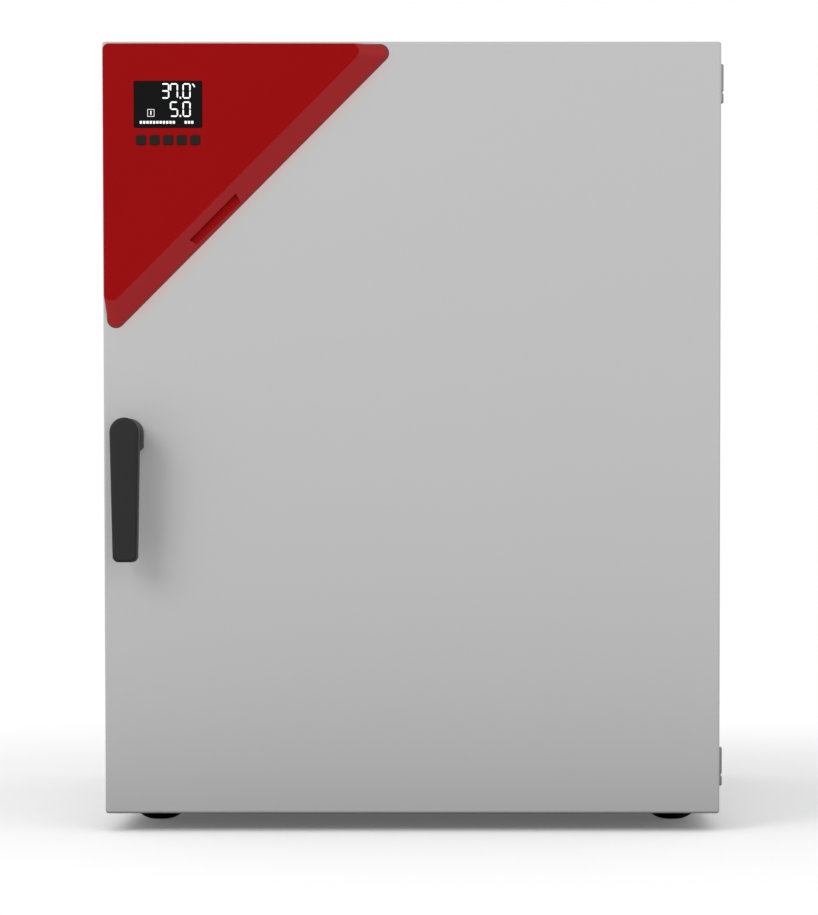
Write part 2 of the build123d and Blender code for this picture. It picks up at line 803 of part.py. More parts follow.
# Gas sensor: a capped head inside the chamber on a stem through the wall
sensor_radius = 19.0
sensor_reach = 58.0
cap_depth = 36.0
cap_step = 3.0
cap_bevel = 5.0
cap_slots = 12
cap_slot = (4.0, 3.0)
stem_end_y = service_y + plate_sheet + 16
with BuildPart() as gas_sensor:
    with BuildSketch(lathe_plane(sensor_x, sensor_z)):
        cap_front_y = chamber_rear_y - sensor_reach
        with BuildLine():
            Polyline(
                (cap_front_y, 0),
                (cap_front_y, sensor_radius - cap_bevel),
                (cap_front_y + cap_bevel, sensor_radius),
                (cap_front_y + cap_depth, sensor_radius),
                (cap_front_y + cap_depth, sensor_radius - cap_step),
                (chamber_rear_y - 2 * stem_flange, sensor_radius - cap_step),
                (chamber_rear_y - 2 * stem_flange, sensor_radius + cap_bevel),
                (chamber_rear_y, sensor_radius + cap_bevel),
                (chamber_rear_y, stem_radius),
                (stem_end_y, stem_radius),
                (stem_end_y, 0),
                close=True,
            )
        make_face()
    revolve(axis=Axis((sensor_x, 0, sensor_z), (0, 1, 0)))
    with BuildSketch(facing(cap_front_y + cap_depth - cap_bevel)):
        with Locations((sensor_x, sensor_z)):
            with PolarLocations(sensor_radius, cap_slots):
                Rectangle(*cap_slot)
    extrude(amount=cap_depth - 2 * cap_bevel, mode=Mode.SUBTRACT)
gas_sensor.part.label = "gas_sensor"
export_step(gas_sensor.part, "parts/gas_sensor.step")

# Temperature probe: a slim rod with a round end and a collar on the wall
probe_reach = 85.0
with BuildPart() as temperature_probe:
    with BuildSketch(lathe_plane(probe_x, probe_z)):
        with BuildLine():
            Polyline(
                (chamber_rear_y - probe_reach, 0),
                (chamber_rear_y - probe_reach, probe_stem - 1),
                (chamber_rear_y - probe_reach + 1, probe_stem),
                (chamber_rear_y - 3 * stem_flange, probe_stem),
                (chamber_rear_y - 3 * stem_flange, 3 * probe_stem),
                (chamber_rear_y, 3 * probe_stem),
                (chamber_rear_y, probe_stem),
                (stem_end_y, probe_stem),
                (stem_end_y, 0),
                close=True,
            )
        make_face()
    revolve(axis=Axis((probe_x, 0, probe_z), (0, 1, 0)))
temperature_probe.part.label = "temperature_probe"
export_step(temperature_probe.part, "parts/temperature_probe.step")

# Gas hoses: fitting to valve, valve to filter, and filter to nozzle, all in one upright plane
valve_in_z = valve_z - valve_height / 2
valve_out_z = valve_z + valve_height / 2
filter_in_z = filter_z - filter_height / 2
filter_out_z = filter_z + filter_height / 2
hose_routes = [
    [(column_x, bend_y, inlet_z), (column_x, column_y, inlet_z), (column_x, column_y, valve_in_z)],
    [(column_x, column_y, valve_out_z), (column_x, column_y, filter_in_z)],
    [(column_x, column_y, filter_out_z), (column_x, column_y, nozzle_z), (column_x, tail_y, nozzle_z)],
]
with BuildPart() as gas_hoses:
    for route in hose_routes:
        with BuildLine() as hose_path:
            if len(route) == 2:
                Line(*route)
            else:
                FilletPolyline(*route, radius=hose_bend)
        start = hose_path.line @ 0
        heading = hose_path.line % 0
        with BuildSketch(Plane(origin=start, z_dir=heading)):
            Circle(hose_radius)
            Circle(hose_bore, mode=Mode.SUBTRACT)
        sweep(path=hose_path.line)
gas_hoses.part.label = "gas_hoses"
export_step(gas_hoses.part, "parts/gas_hoses.step")

# Shelves: slotted sheets with turned-down front and rear lips, resting on the ribs
shelf_x = chamber_x - shelf_side_gap
shelf_front_y = flange_y + shelf_set_back
shelf_mid_y = shelf_front_y + shelf_depth / 2
lip_x = chamber_x - rib_depth - shelf_side_gap
slot_pitch = (shelf_depth - 4 * slot_width) / slot_rows
shelf_names = ["shelf_lower", "shelf_middle", "shelf_upper"]
for shelf_name, level in zip(shelf_names, shelf_levels):
    with BuildPart() as shelf:
        with BuildSketch(Plane.XY.offset(level)):
            with Locations((0, shelf_mid_y)):
                RectangleRounded(2 * shelf_x, shelf_depth, mouth_radius + shelf_side_gap)
                with GridLocations(slot_length + 2 * slot_width, slot_pitch, 2, slot_rows):
                    SlotOverall(slot_length, slot_width, mode=Mode.SUBTRACT)
        extrude(amount=shelf_sheet)
        for y in (shelf_front_y, shelf_front_y + shelf_depth - shelf_sheet):
            with Locations((0, y + shelf_sheet / 2, level - shelf_lip / 2)):
                Box(2 * (lip_x - mouth_radius), shelf_sheet, shelf_lip)
    shelf.part.label = shelf_name
    export_step(shelf.part, f"parts/{shelf_name}.step")

# Water pan on the chamber's floor: a drawn tray with rounded corners and a rolled-out rim
pan_front = flange_y + shelf_set_back
pan_mid_y = pan_front + pan_depth / 2 + pan_rim
with BuildPart() as water_pan:
    with BuildSketch(Plane.XY.offset(chamber_low + pan_height - pan_sheet)):
        with Locations((0, pan_mid_y)):
            RectangleRounded(
                pan_width + 2 * pan_rim, pan_depth + 2 * pan_rim, pan_corner + pan_rim
            )
    extrude(amount=pan_sheet)
    for inset, low, mode in ((0, 0, Mode.ADD), (pan_sheet, pan_sheet, Mode.SUBTRACT)):
        for height, lean in ((low, pan_lean), (pan_height, 0)):
            with BuildSketch(Plane.XY.offset(chamber_low + height)):
                with Locations((0, pan_mid_y)):
                    RectangleRounded(
                        pan_width - 2 * (inset + lean),
                        pan_depth - 2 * (inset + lean),
                        pan_corner - inset,
                    )
        loft(mode=mode)
    fillet(water_pan.faces().filter_by(Axis.Z).sort_by(Axis.Z)[0].edges(), pan_bend)
    fillet(water_pan.faces().filter_by(Axis.Z).sort_by(Axis.Z)[1].edges(), pan_bend - pan_sheet)
water_pan.part.label = "water_pan"
export_step(water_pan.part, "parts/water_pan.step")

# Outer hinges: leaves in the door gap, knuckles outside the side wall, lift-off pins
axis_x = half_width + door_swing_axis_out
axis_y = (door_back_y + casing_y) / 2
leaf_in_x = half_width - leaf_width
hinge_lows = {
    "upper": top_z - upper_hinge_drop - leaf_height,
    "lower": foot_height + lower_hinge_rise,
}
for place, low in hinge_lows.items():
    short_top = low + short_knuckle
    long_low = short_top + knuckle_gap
    leaf_top = low + leaf_height
    with BuildPart() as cabinet_hinge:
        with BuildSketch(Plane.XY.offset(low)):
            with Locations((axis_x, axis_y)):
                Circle(knuckle_radius)
        extrude(amount=short_knuckle)
        knuckle_ends = cabinet_hinge.edges().filter_by(GeomType.CIRCLE).sort_by(Axis.Z)
        fillet(knuckle_ends[0], knuckle_round)
        knuckle_ends = cabinet_hinge.edges().filter_by(GeomType.CIRCLE).sort_by(Axis.Z)
        fillet(knuckle_ends[-1], knuckle_edge)
        with BuildSketch(Plane.XY.offset(low)):
            with Locations(((leaf_in_x + half_width) / 2, casing_y - leaf_thickness / 2)):
                Rectangle(leaf_width - 0.4, leaf_thickness)
        extrude(amount=leaf_height)
        with BuildSketch(Plane.XY.offset(low + knuckle_round)):
            with Locations(((leaf_in_x + axis_x) / 2, casing_y - leaf_thickness / 2)):
                Rectangle(axis_x - leaf_in_x, leaf_thickness)
        extrude(amount=short_knuckle - knuckle_round - knuckle_edge)
        with BuildSketch(Plane.XY.offset(low + knuckle_round)):
            with Locations((axis_x, axis_y)):
                Circle(pin_radius + pin_collar)
        extrude(amount=short_knuckle - knuckle_round + knuckle_gap - seat_gap)
        with BuildSketch(Plane.XY.offset(low + knuckle_round)):
            with Locations((axis_x, axis_y)):
                Circle(pin_radius)
        extrude(amount=leaf_height - knuckle_round - 4)
        pin_end = cabinet_hinge.edges().filter_by(GeomType.CIRCLE).sort_by(Axis.Z)[-1]
        chamfer(pin_end, pin_radius / 4)
    cabinet_hinge.part.label = f"hinge_cabinet_{place}"
    export_step(cabinet_hinge.part, f"parts/hinge_cabinet_{place}.step")
    with BuildPart() as door_hinge:
        with BuildSketch(Plane.XY.offset(long_low)):
            with Locations((axis_x, axis_y)):
                Circle(knuckle_radius)
        extrude(amount=leaf_top - long_low)
        knuckle_ends = door_hinge.edges().filter_by(GeomType.CIRCLE).sort_by(Axis.Z)
        fillet(knuckle_ends[0], knuckle_edge)
        knuckle_ends = door_hinge.edges().filter_by(GeomType.CIRCLE).sort_by(Axis.Z)
        fillet(knuckle_ends[-1], knuckle_round)
        with BuildSketch(Plane.XY.offset(low)):
            with Locations(((leaf_in_x + half_width) / 2, door_back_y + leaf_thickness / 2)):
                Rectangle(leaf_width - 0.4, leaf_thickness)
        extrude(amount=leaf_height)
        with BuildSketch(Plane.XY.offset(long_low + knuckle_edge)):
            with Locations(((leaf_in_x + axis_x) / 2, door_back_y + leaf_thickness / 2)):
                Rectangle(axis_x - leaf_in_x, leaf_thickness)
        extrude(amount=leaf_top - long_low - knuckle_edge - knuckle_round)
        with BuildSketch(Plane.XY.offset(long_low)):
            with Locations((axis_x, axis_y)):
                Circle(pin_radius + running_gap)
        extrude(amount=leaf_top - long_low - 3, mode=Mode.SUBTRACT)
    door_hinge.part.label = f"hinge_door_{place}"
    export_step(door_hinge.part, f"parts/hinge_door_{place}.step")

# Latch keeper: a headed stud riveted through the front frame
head_front_y = door_back_y + 0.4
head_back_y = head_front_y + keeper_head_height
with BuildPart() as latch_keeper:
    with BuildSketch(lathe_plane(stud_x, handle_z)):
        with BuildLine():
            Polyline(
                (head_front_y, 0),
                (head_front_y, keeper_head - 0.6),
                (head_front_y + 0.6, keeper_head),
                (head_back_y, keeper_head),
                (head_back_y, keeper_radius),
                (casing_y + plate_sheet, keeper_radius),
                (casing_y + plate_sheet, 0),
                close=True,
            )
        make_face()
    revolve(axis=Axis((stud_x, 0, handle_z), (0, 1, 0)))
latch_keeper.part.label = "latch_keeper"
export_step(latch_keeper.part, "parts/latch_keeper.step")

# Outer door skin: a pressed pan with rounded edges, open towards the cabinet
with BuildPart() as door_skin:
    with BuildSketch(facing(door_back_y)):
        with Locations((0, (foot_height + top_z) / 2)):
            Rectangle(body_width, body_height)
    extrude(amount=door_thickness)
    fillet(door_skin.edges().filter_by(Axis.Y), edge_radius)
    fillet(door_skin.faces().sort_by(Axis.Y)[0].edges(), edge_radius)
    offset(amount=-door_sheet, openings=door_skin.faces().sort_by(Axis.Y)[-1])
    with BuildSketch(facing(front_y + door_sheet)):
        with Locations((handle_x, handle_z)):
            Circle(spindle_radius + 1)
        with Locations(window_mid):
            RectangleRounded(window_width - 5 * window_ledge, window_height - 4 * window_ledge, 4)
    extrude(amount=door_sheet, mode=Mode.SUBTRACT)
door_skin.part.label = "door_skin"
export_step(door_skin.part, "parts/door_skin.step")

# Door inner panel: stainless sheet dished to clear the glass door
dish_x = rebate_x + dish_margin
dish_tall = rebate_tall + 2 * dish_margin
inner_x = half_width - door_sheet - seat_gap
inner_tall = body_height - 2 * (door_sheet + seat_gap)
door_mid_z = (foot_height + top_z) / 2
with BuildPart() as door_inner_panel:
    with BuildSketch(facing(door_back_y)):
        with Locations((0, door_mid_z)):
            RectangleRounded(2 * inner_x, inner_tall, edge_radius)
        with Locations((handle_x, handle_z)):
            Circle(spindle_radius + 1, mode=Mode.SUBTRACT)
    extrude(amount=plate_sheet)
    with BuildSketch(facing(door_back_y)):
        with Locations((0, mouth_mid_z)):
            RectangleRounded(
                2 * (dish_x + plate_sheet),
                dish_tall + 2 * plate_sheet,
                rebate_radius + plate_sheet,
            )
    extrude(amount=dish_depth + plate_sheet)
    with BuildSketch(facing(door_back_y)):
        with Locations((0, mouth_mid_z)):
            RectangleRounded(2 * dish_x, dish_tall, rebate_radius)
    extrude(amount=dish_depth, mode=Mode.SUBTRACT)
door_inner_panel.part.label = "door_inner_panel"
export_step(door_inner_panel.part, "parts/door_inner_panel.step")

# Door heater foil on the hidden side of the dish
dish_back_y = dish_y - plate_sheet
with BuildPart() as door_heater:
    with BuildSketch(facing(dish_back_y)):
        with Locations((0, mouth_mid_z)):
            RectangleRounded(2 * (dish_x - foil_inset), dish_tall - 2 * foil_inset, 12)
    extrude(amount=heater_thickness)
door_heater.part.label = "door_heater"
export_step(door_heater.part, "parts/door_heater.step")

# Door insulation, with room for the dish, the spindle bush and the panel's wiring
bush_radius = spindle_radius + running_gap + bush_wall
wiring_depth = 20.0
foam_front_y = front_y + door_sheet + seat_gap
foam_back_y = door_back_y - plate_sheet - seat_gap
with BuildPart() as door_insulation:
    with BuildSketch(facing(foam_back_y)):
        with Locations((0, door_mid_z)):
            RectangleRounded(2 * inner_x, inner_tall, edge_radius)
        with Locations((handle_x, handle_z)):
            Circle(bush_radius + seat_gap, mode=Mode.SUBTRACT)
    extrude(amount=foam_back_y - foam_front_y)
    fillet(door_insulation.faces().sort_by(Axis.Y)[0].outer_wire().edges(), edge_radius)
    with BuildSketch(facing(foam_back_y)):
        with Locations((0, mouth_mid_z)):
            RectangleRounded(
                2 * (dish_x + plate_sheet + seat_gap),
                dish_tall + 2 * (plate_sheet + seat_gap),
                rebate_radius + plate_sheet + seat_gap,
            )
    extrude(
        amount=foam_back_y - dish_back_y + heater_thickness + seat_gap, mode=Mode.SUBTRACT
    )
    with BuildSketch(facing(foam_front_y + wiring_depth)):
        with Locations(window_mid):
            Rectangle(window_width, window_height)
    extrude(amount=wiring_depth, mode=Mode.SUBTRACT)
door_insulation.part.label = "door_insulation"
export_step(door_insulation.part, "parts/door_insulation.step")

# Door gasket: a magnetic seal round the mouth, with a soft lip towards the cabinet
gasket_thickness = door_gap - seat_gap
with BuildPart() as door_gasket:
    with BuildSketch(facing(door_back_y + gasket_thickness)):
        with Locations((0, mouth_mid_z)):
            RectangleRounded(2 * gasket_out_x, gasket_tall, rebate_radius + gasket_width)
            RectangleRounded(
                2 * gasket_in_x,
                gasket_tall - 2 * gasket_width,
                rebate_radius,
                mode=Mode.SUBTRACT,
            )
    extrude(amount=gasket_thickness)
    lip = door_gasket.faces().sort_by(Axis.Y)[-1]
    chamfer(lip.edges(), gasket_width / 5)
door_gasket.part.label = "door_gasket"
export_step(door_gasket.part, "parts/door_gasket.step")


def panel_outline(line, inset, lean, corner, tip):
    """Rounded right triangle on the door; lean draws its lower tip in from the door's edge."""
    left = panel_left + inset
    top = panel_top + inset
    lower_tip = on_door(left + lean, line - left - lean)
    points = [on_door(left, top), on_door(line - top, top), lower_tip]
    return FilletPolyline(*points, radius=[corner, tip, tip], close=True)


# Control panel: a hollow triangular moulding with a sloping edge and a finger recess
key_places = [on_door(key_first + n * key_pitch, key_drop) for n in range(key_count)]
recess_corners = [(147, 167), (152, 176), (104, 222), (96, 218)]
recess_floor = 1.2
post_radius = 2.5
post_places = [
    on_door(key_first - key_pitch, key_drop),
    on_door(key_first + key_count * key_pitch, key_drop),
]
key_back_y = panel_face_y + panel_wall + seat_gap
stem_y = key_back_y + key_flange + key_stem
switch_y = stem_y + key_travel + seat_gap
board_y = switch_y + switch_height
with BuildPart() as control_panel:
    with BuildSketch(facing(front_y)):
        with BuildLine():
            panel_outline(panel_foot_line, 0, panel_lean, panel_corner, panel_tip)
        make_face()
    with BuildSketch(facing(panel_face_y)):
        with BuildLine():
            panel_outline(panel_face_line, 0, 0, panel_corner, panel_tip)
        make_face()
    loft(ruled=True)
    fillet(control_panel.faces().sort_by(Axis.Y)[0].edges(), panel_rim)
    with BuildSketch(facing(front_y)):
        with BuildLine():
            panel_outline(panel_cavity_line, panel_wall, panel_lean, panel_corner, panel_tip)
        make_face()
    extrude(amount=panel_rise - panel_wall, mode=Mode.SUBTRACT)
    with BuildSketch(facing(board_y)):
        with Locations(*post_places):
            Circle(post_radius)
    extrude(amount=board_y - panel_face_y - panel_wall / 2)
    with BuildSketch(facing(panel_face_y + lens_thickness)):
        with Locations(window_mid):
            RectangleRounded(window_width + 2 * seat_gap, window_height + 2 * seat_gap, 2)
    extrude(amount=panel_wall, mode=Mode.SUBTRACT)
    with BuildSketch(facing(panel_face_y + panel_wall)):
        with Locations(window_mid):
            Rectangle(window_width - 2 * window_ledge, window_height - 2 * window_ledge)
        with Locations(*key_places):
            RectangleRounded(key_size + 2 * key_gap, key_size + 2 * key_gap, 1.8)
    extrude(amount=2 * panel_wall, mode=Mode.SUBTRACT)
    with BuildSketch(facing(front_y - recess_floor)):
        with BuildLine():
            Polyline(*[on_door(u, v) for u, v in recess_corners], close=True)
        make_face()
    extrude(amount=panel_rise, mode=Mode.SUBTRACT)
control_panel.part.label = "control_panel"
export_step(control_panel.part, "parts/control_panel.step")

# Display lens, flush in the panel's face
with BuildPart() as display_lens:
    with BuildSketch(facing(panel_face_y + lens_thickness)):
        with Locations(window_mid):
            RectangleRounded(window_width, window_height, 1.8)
    extrude(amount=lens_thickness)
display_lens.part.label = "display_lens"
export_step(display_lens.part, "parts/display_lens.step")

# Display module behind the window
with BuildPart() as display_module:
    with BuildSketch(facing(panel_face_y + panel_wall + display_depth)):
        with Locations(window_mid):
            Rectangle(window_width - window_ledge, window_height - window_ledge)
    extrude(amount=display_depth)
display_module.part.label = "display_module"
export_step(display_module.part, "parts/display_module.step")

# Key board: a circuit board on two posts with a switch under each key
with BuildPart() as key_board:
    with BuildSketch(facing(board_y + board_thickness)):
        with Locations(on_door(key_first + key_pitch * (key_count - 1) / 2, key_drop)):
            Rectangle(key_pitch * (key_count + 1) + 4 * post_radius, key_size + 4)
    extrude(amount=board_thickness)
    with BuildSketch(facing(board_y)):
        with Locations(*key_places):
            Rectangle(6, 6)
    extrude(amount=switch_height)
key_board.part.label = "key_board"
export_step(key_board.part, "parts/key_board.step")

# Keys: square caps with a hidden retaining flange and a short stem
for number, (x, z) in enumerate(key_places, start=1):
    with BuildPart() as key:
        with BuildSketch(facing(key_back_y)):
            with Locations((x, z)):
                RectangleRounded(key_size, key_size, 1.6)
        extrude(amount=key_back_y - panel_face_y + key_proud)
        fillet(key.faces().sort_by(Axis.Y)[0].edges(), 0.5)
        with BuildSketch(facing(key_back_y + key_flange)):
            with Locations((x, z)):
                RectangleRounded(key_size + 2 * key_flange, key_size + 2 * key_flange, 1.5)
        extrude(amount=key_flange)
        with BuildSketch(facing(stem_y)):
            with Locations((x, z)):
                Circle(key_size / 5)
        extrude(amount=stem_y - key_back_y)
    key.part.label = f"key_{number}"
    export_step(key.part, f"parts/key_{number}.step")

# Handle rose: a flat plate behind the lever, round at the top and cut at its lower corners
rose_low = handle_z - rose_drop
with BuildPart() as handle_rose:
    with BuildSketch(facing(front_y)):
        with Locations((handle_x, handle_z)):
            Circle(rose_radius)
        with BuildLine():
            Polyline(
                (handle_x - rose_radius, handle_z),
                (handle_x - rose_radius, rose_low + rose_cut),
                (handle_x - rose_radius + rose_cut, rose_low),
                (handle_x + rose_radius - rose_cut, rose_low),
                (handle_x + rose_radius, rose_low + rose_cut),
                (handle_x + rose_radius, handle_z),
                close=True,
            )
        make_face()
        with Locations((handle_x, handle_z)):
            Circle(spindle_radius + 1, mode=Mode.SUBTRACT)
    extrude(amount=rose_thickness)
    fillet(handle_rose.faces().sort_by(Axis.Y)[0].outer_wire().edges(), 1.2)
handle_rose.part.label = "handle_rose"
export_step(handle_rose.part, "parts/handle_rose.step")

# Spindle bush: a bearing tube between the door skin and the inner panel
with BuildPart() as spindle_bush:
    with BuildSketch(facing(door_back_y - plate_sheet)):
        with Locations((handle_x, handle_z)):
            Circle(bush_radius)
            Circle(spindle_radius + running_gap, mode=Mode.SUBTRACT)
    extrude(amount=door_thickness - door_sheet - plate_sheet)
spindle_bush.part.label = "spindle_bush"
export_step(spindle_bush.part, "parts/spindle_bush.step")

# Handle grip: a tapered lever with bevelled edges and a round hub at its top
grip_front_y = front_y - handle_reach
grip_back_y = grip_front_y + handle_thickness
hub_back_y = front_y - rose_thickness - seat_gap
grip_low = handle_z + handle_head - handle_length
with BuildPart() as handle_grip:
    with BuildSketch(facing(grip_back_y)):
        with Locations((handle_x, handle_z)):
            Circle(handle_head)
        with Locations((handle_x, grip_low + handle_tip_radius)):
            SlotOverall(2 * handle_tip, 2 * handle_tip_radius)
        make_hull()
    extrude(amount=handle_thickness)
    fillet(handle_grip.faces().sort_by(Axis.Y)[0].edges(), 4)
    fillet(handle_grip.faces().sort_by(Axis.Y)[-1].edges(), 3)
    with BuildSketch(facing(hub_back_y)):
        with Locations((handle_x, handle_z)):
            Circle(rose_radius - 3)
    extrude(amount=hub_back_y - grip_back_y + 1)
handle_grip.part.label = "handle_grip"
export_step(handle_grip.part, "parts/handle_grip.step")

# Handle spindle, turning in the bush
claw_front_y = head_back_y + seat_gap
with BuildPart() as handle_spindle:
    with BuildSketch(facing(claw_front_y)):
        with Locations((handle_x, handle_z)):
            Circle(spindle_radius)
    extrude(amount=claw_front_y - hub_back_y)
handle_spindle.part.label = "handle_spindle"
export_step(handle_spindle.part, "parts/handle_spindle.step")

# Latch claw: a turning hook whose curved slot slides behind the keeper's head
claw_pitch = handle_x - stud_x
claw_slot = keeper_radius + 0.5
claw_reach = claw_pitch + claw_slot + 4.2
claw_hub = spindle_radius + 2.3
claw_edges = [
    (
        handle_x + 3 * claw_reach * math.cos(math.radians(angle)),
        handle_z + 3 * claw_reach * math.sin(math.radians(angle)),
    )
    for angle in claw_angles
]
with BuildPart() as latch_claw:
    with BuildSketch(facing(claw_front_y + claw_thickness)):
        with Locations((handle_x, handle_z)):
            Circle(claw_reach)
        with BuildLine():
            Polyline((handle_x, handle_z), *claw_edges, close=True)
        make_face(mode=Mode.INTERSECT)
        with Locations((handle_x, handle_z)):
            Circle(claw_hub)
        with BuildLine():
            slot_line = CenterArc(
                (handle_x, handle_z), claw_pitch, claw_slot_start, claw_slot_sweep
            )
        SlotArc(slot_line, 2 * claw_slot, mode=Mode.SUBTRACT)
    extrude(amount=claw_thickness)
latch_claw.part.label = "latch_claw"
export_step(latch_claw.part, "parts/latch_claw.step")

# Glass pane of the inner door
with BuildPart() as glass_pane:
    with BuildSketch(facing(glass_back_y)):
        with Locations((0, mouth_mid_z)):
            RectangleRounded(2 * glass_x, glass_tall, mouth_radius)
    extrude(amount=glass_thickness)
    chamfer(glass_pane.faces().sort_by(Axis.Y)[0].edges(), 0.8)
glass_pane.part.label = "glass_pane"
export_step(glass_pane.part, "parts/glass_pane.step")

# Glass door hinges: pin brackets on the flange and leaves on the pane
glass_axis_x = (glass_x + rebate_x) / 2
glass_axis_y = glass_front_y + glass_thickness / 2
glass_hinge_zs = [
    mouth_mid_z - glass_tall / 2 + glass_hinge_inset,
    mouth_mid_z + glass_tall / 2 - glass_hinge_inset,
]
bracket_half = glass_knuckle_radius - 0.5
with BuildPart() as glass_hinge_brackets:
    for z in glass_hinge_zs:
        with BuildSketch(Plane.XY.offset(z - glass_hinge_height / 2)):
            with Locations((glass_axis_x, (glass_axis_y + flange_y) / 2)):
                Rectangle(2 * bracket_half, flange_y - glass_axis_y)
            with Locations((glass_axis_x, glass_axis_y)):
                Circle(bracket_half)
        extrude(amount=glass_hinge_height / 3)
        with BuildSketch(Plane.XY.offset(z - glass_hinge_height / 2)):
            with Locations((glass_axis_x, glass_axis_y)):
                Circle(glass_pin_radius)
        extrude(amount=glass_hinge_height - 4)
glass_hinge_brackets.part.label = "glass_hinge_brackets"
export_step(glass_hinge_brackets.part, "parts/glass_hinge_brackets.step")

leaf_sheet = 1.5
with BuildPart() as glass_hinge_leaves:
    for z in glass_hinge_zs:
        low = z - glass_hinge_height / 6 + seat_gap
        with BuildSketch(Plane.XY.offset(low)):
            with Locations((glass_axis_x, glass_axis_y)):
                Circle(glass_knuckle_radius)
            with Locations(
                (glass_axis_x - glass_leaf_width / 2, glass_front_y - leaf_sheet / 2)
            ):
                Rectangle(glass_leaf_width, leaf_sheet)
        extrude(amount=2 * glass_hinge_height / 3 - seat_gap)
        with BuildSketch(Plane.XY.offset(low)):
            with Locations((glass_axis_x, glass_axis_y)):
                Circle(glass_pin_radius + running_gap)
        extrude(amount=2 * glass_hinge_height / 3 - 3, mode=Mode.SUBTRACT)
glass_hinge_leaves.part.label = "glass_hinge_leaves"
export_step(glass_hinge_leaves.part, "parts/glass_hinge_leaves.step")

# Turn button of the glass door, its post on the pane and its catch on the rebate
button_x = -(glass_x - turn_button_inset)
button_thickness = 3.0
button_y = glass_front_y - button_thickness
button_front_y = button_y - button_thickness
with BuildPart() as glass_latch_post:
    with BuildSketch(facing(glass_front_y)):
        with Locations((button_x, mouth_mid_z)):
            Circle(turn_post_flange)
    extrude(amount=glass_front_y - button_y - seat_gap)
    with BuildSketch(facing(glass_front_y)):
        with Locations((button_x, mouth_mid_z)):
            Circle(turn_post_radius)
    extrude(amount=glass_front_y - button_front_y + seat_gap)
    with BuildSketch(facing(button_front_y - seat_gap)):
        with Locations((button_x, mouth_mid_z)):
            Circle(turn_post_head)
    extrude(amount=turn_post_radius / 2)
glass_latch_post.part.label = "glass_latch_post"
export_step(glass_latch_post.part, "parts/glass_latch_post.step")

nose_length, nose_height = turn_button_nose
with BuildPart() as glass_turn_button:
    with BuildSketch(facing(button_y)):
        with Locations((button_x, mouth_mid_z)):
            Circle(turn_button_hub)
        with Locations((button_x - nose_length / 2, mouth_mid_z)):
            Rectangle(nose_length, nose_height)
        with Locations((button_x, mouth_mid_z - turn_button_length / 2)):
            RectangleRounded(turn_button_width, turn_button_length, 5)
        with Locations((button_x, mouth_mid_z)):
            Circle(turn_post_radius + running_gap, mode=Mode.SUBTRACT)
    extrude(amount=button_thickness)
glass_turn_button.part.label = "glass_turn_button"
export_step(glass_turn_button.part, "parts/glass_turn_button.step")

catch_front_y = button_front_y - seat_gap - plate_sheet
catch_mid_y = (flange_y + catch_front_y) / 2
with BuildPart() as glass_door_catch:
    with Locations((-rebate_x + plate_sheet / 2, catch_mid_y, mouth_mid_z)):
        Box(plate_sheet, flange_y - catch_front_y, catch_height)
    with Locations((-rebate_x + catch_lip / 2, catch_front_y + plate_sheet / 2, mouth_mid_z)):
        Box(catch_lip, plate_sheet, catch_height)
glass_door_catch.part.label = "glass_door_catch"
export_step(glass_door_catch.part, "parts/glass_door_catch.step")
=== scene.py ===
import json
import math

import bmesh
import bpy
from mathutils import Matrix, Vector


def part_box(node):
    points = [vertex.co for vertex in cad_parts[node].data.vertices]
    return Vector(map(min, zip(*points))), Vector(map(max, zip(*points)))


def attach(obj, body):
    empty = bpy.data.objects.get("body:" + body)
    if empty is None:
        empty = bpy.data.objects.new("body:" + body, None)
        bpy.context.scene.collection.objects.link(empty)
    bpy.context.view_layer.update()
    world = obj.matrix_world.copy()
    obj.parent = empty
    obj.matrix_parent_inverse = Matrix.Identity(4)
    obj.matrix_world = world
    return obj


# Carbon dioxide incubator: finishes, display figures, screws, light and camera.
# Metres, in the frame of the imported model: +X right, +Y away, +Z up.
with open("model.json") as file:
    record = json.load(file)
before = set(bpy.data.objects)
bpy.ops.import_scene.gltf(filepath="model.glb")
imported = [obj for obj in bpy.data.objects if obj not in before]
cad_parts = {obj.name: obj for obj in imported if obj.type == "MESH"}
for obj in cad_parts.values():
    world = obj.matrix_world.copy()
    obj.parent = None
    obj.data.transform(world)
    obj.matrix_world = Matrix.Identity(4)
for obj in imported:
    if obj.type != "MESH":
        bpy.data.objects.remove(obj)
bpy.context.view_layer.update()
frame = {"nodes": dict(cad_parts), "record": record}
nodes = frame["nodes"]
MM = 0.001
FORWARD = Vector((0, -1, 0))
BACKWARD = Vector((0, 1, 0))
HALF_ROOT = math.sqrt(0.5)

# Colours, as linear red, green and blue
POWDER_GREY = (0.500, 0.500, 0.500)
# Red painted onto the door as a reflection of the panel
PAINTED_REFLECTION_RED = (0.585, 0.428, 0.407)
PANEL_RED = (0.292, 0.0018, 0.0024)
# Paler red of the panel's sloping edge: a painted highlight
BEVEL_HIGHLIGHT_RED = (0.330, 0.0165, 0.0185)
# Dark red of the strip round the panel's foot: a painted shadow line
SHADOW_LINE_RED = (0.070, 0.006, 0.006)
DISPLAY_BLACK = (0.0045, 0.0048, 0.0045)
KEY_BLACK = (0.0125, 0.0115, 0.0085)
LEVER_BLACK = (0.020, 0.020, 0.020)
ROSE_GREY = (0.086, 0.086, 0.086)
STAINLESS = (0.60, 0.60, 0.59)
HINGE_STEEL = (0.24, 0.24, 0.24)
ZINC = (0.50, 0.52, 0.53)
BRASS = (0.70, 0.50, 0.20)
GLASS_TINT = (0.93, 0.98, 0.96)
SEAL_GREY = (0.21, 0.21, 0.22)
GASKET_BLACK = (0.024, 0.024, 0.024)
FOOT_BLACK = (0.012, 0.012, 0.012)
WOOL = (0.50, 0.42, 0.25)
FOIL = (0.66, 0.66, 0.66)
BOARD_GREEN = (0.012, 0.110, 0.040)
HOSE_CLEAR = (0.70, 0.72, 0.70)
CAPSULE_WHITE = (0.78, 0.78, 0.78)
FIGURE_WHITE = (0.86, 0.87, 0.88)
FLOOR_WHITE = (0.97, 0.97, 0.98, 1)
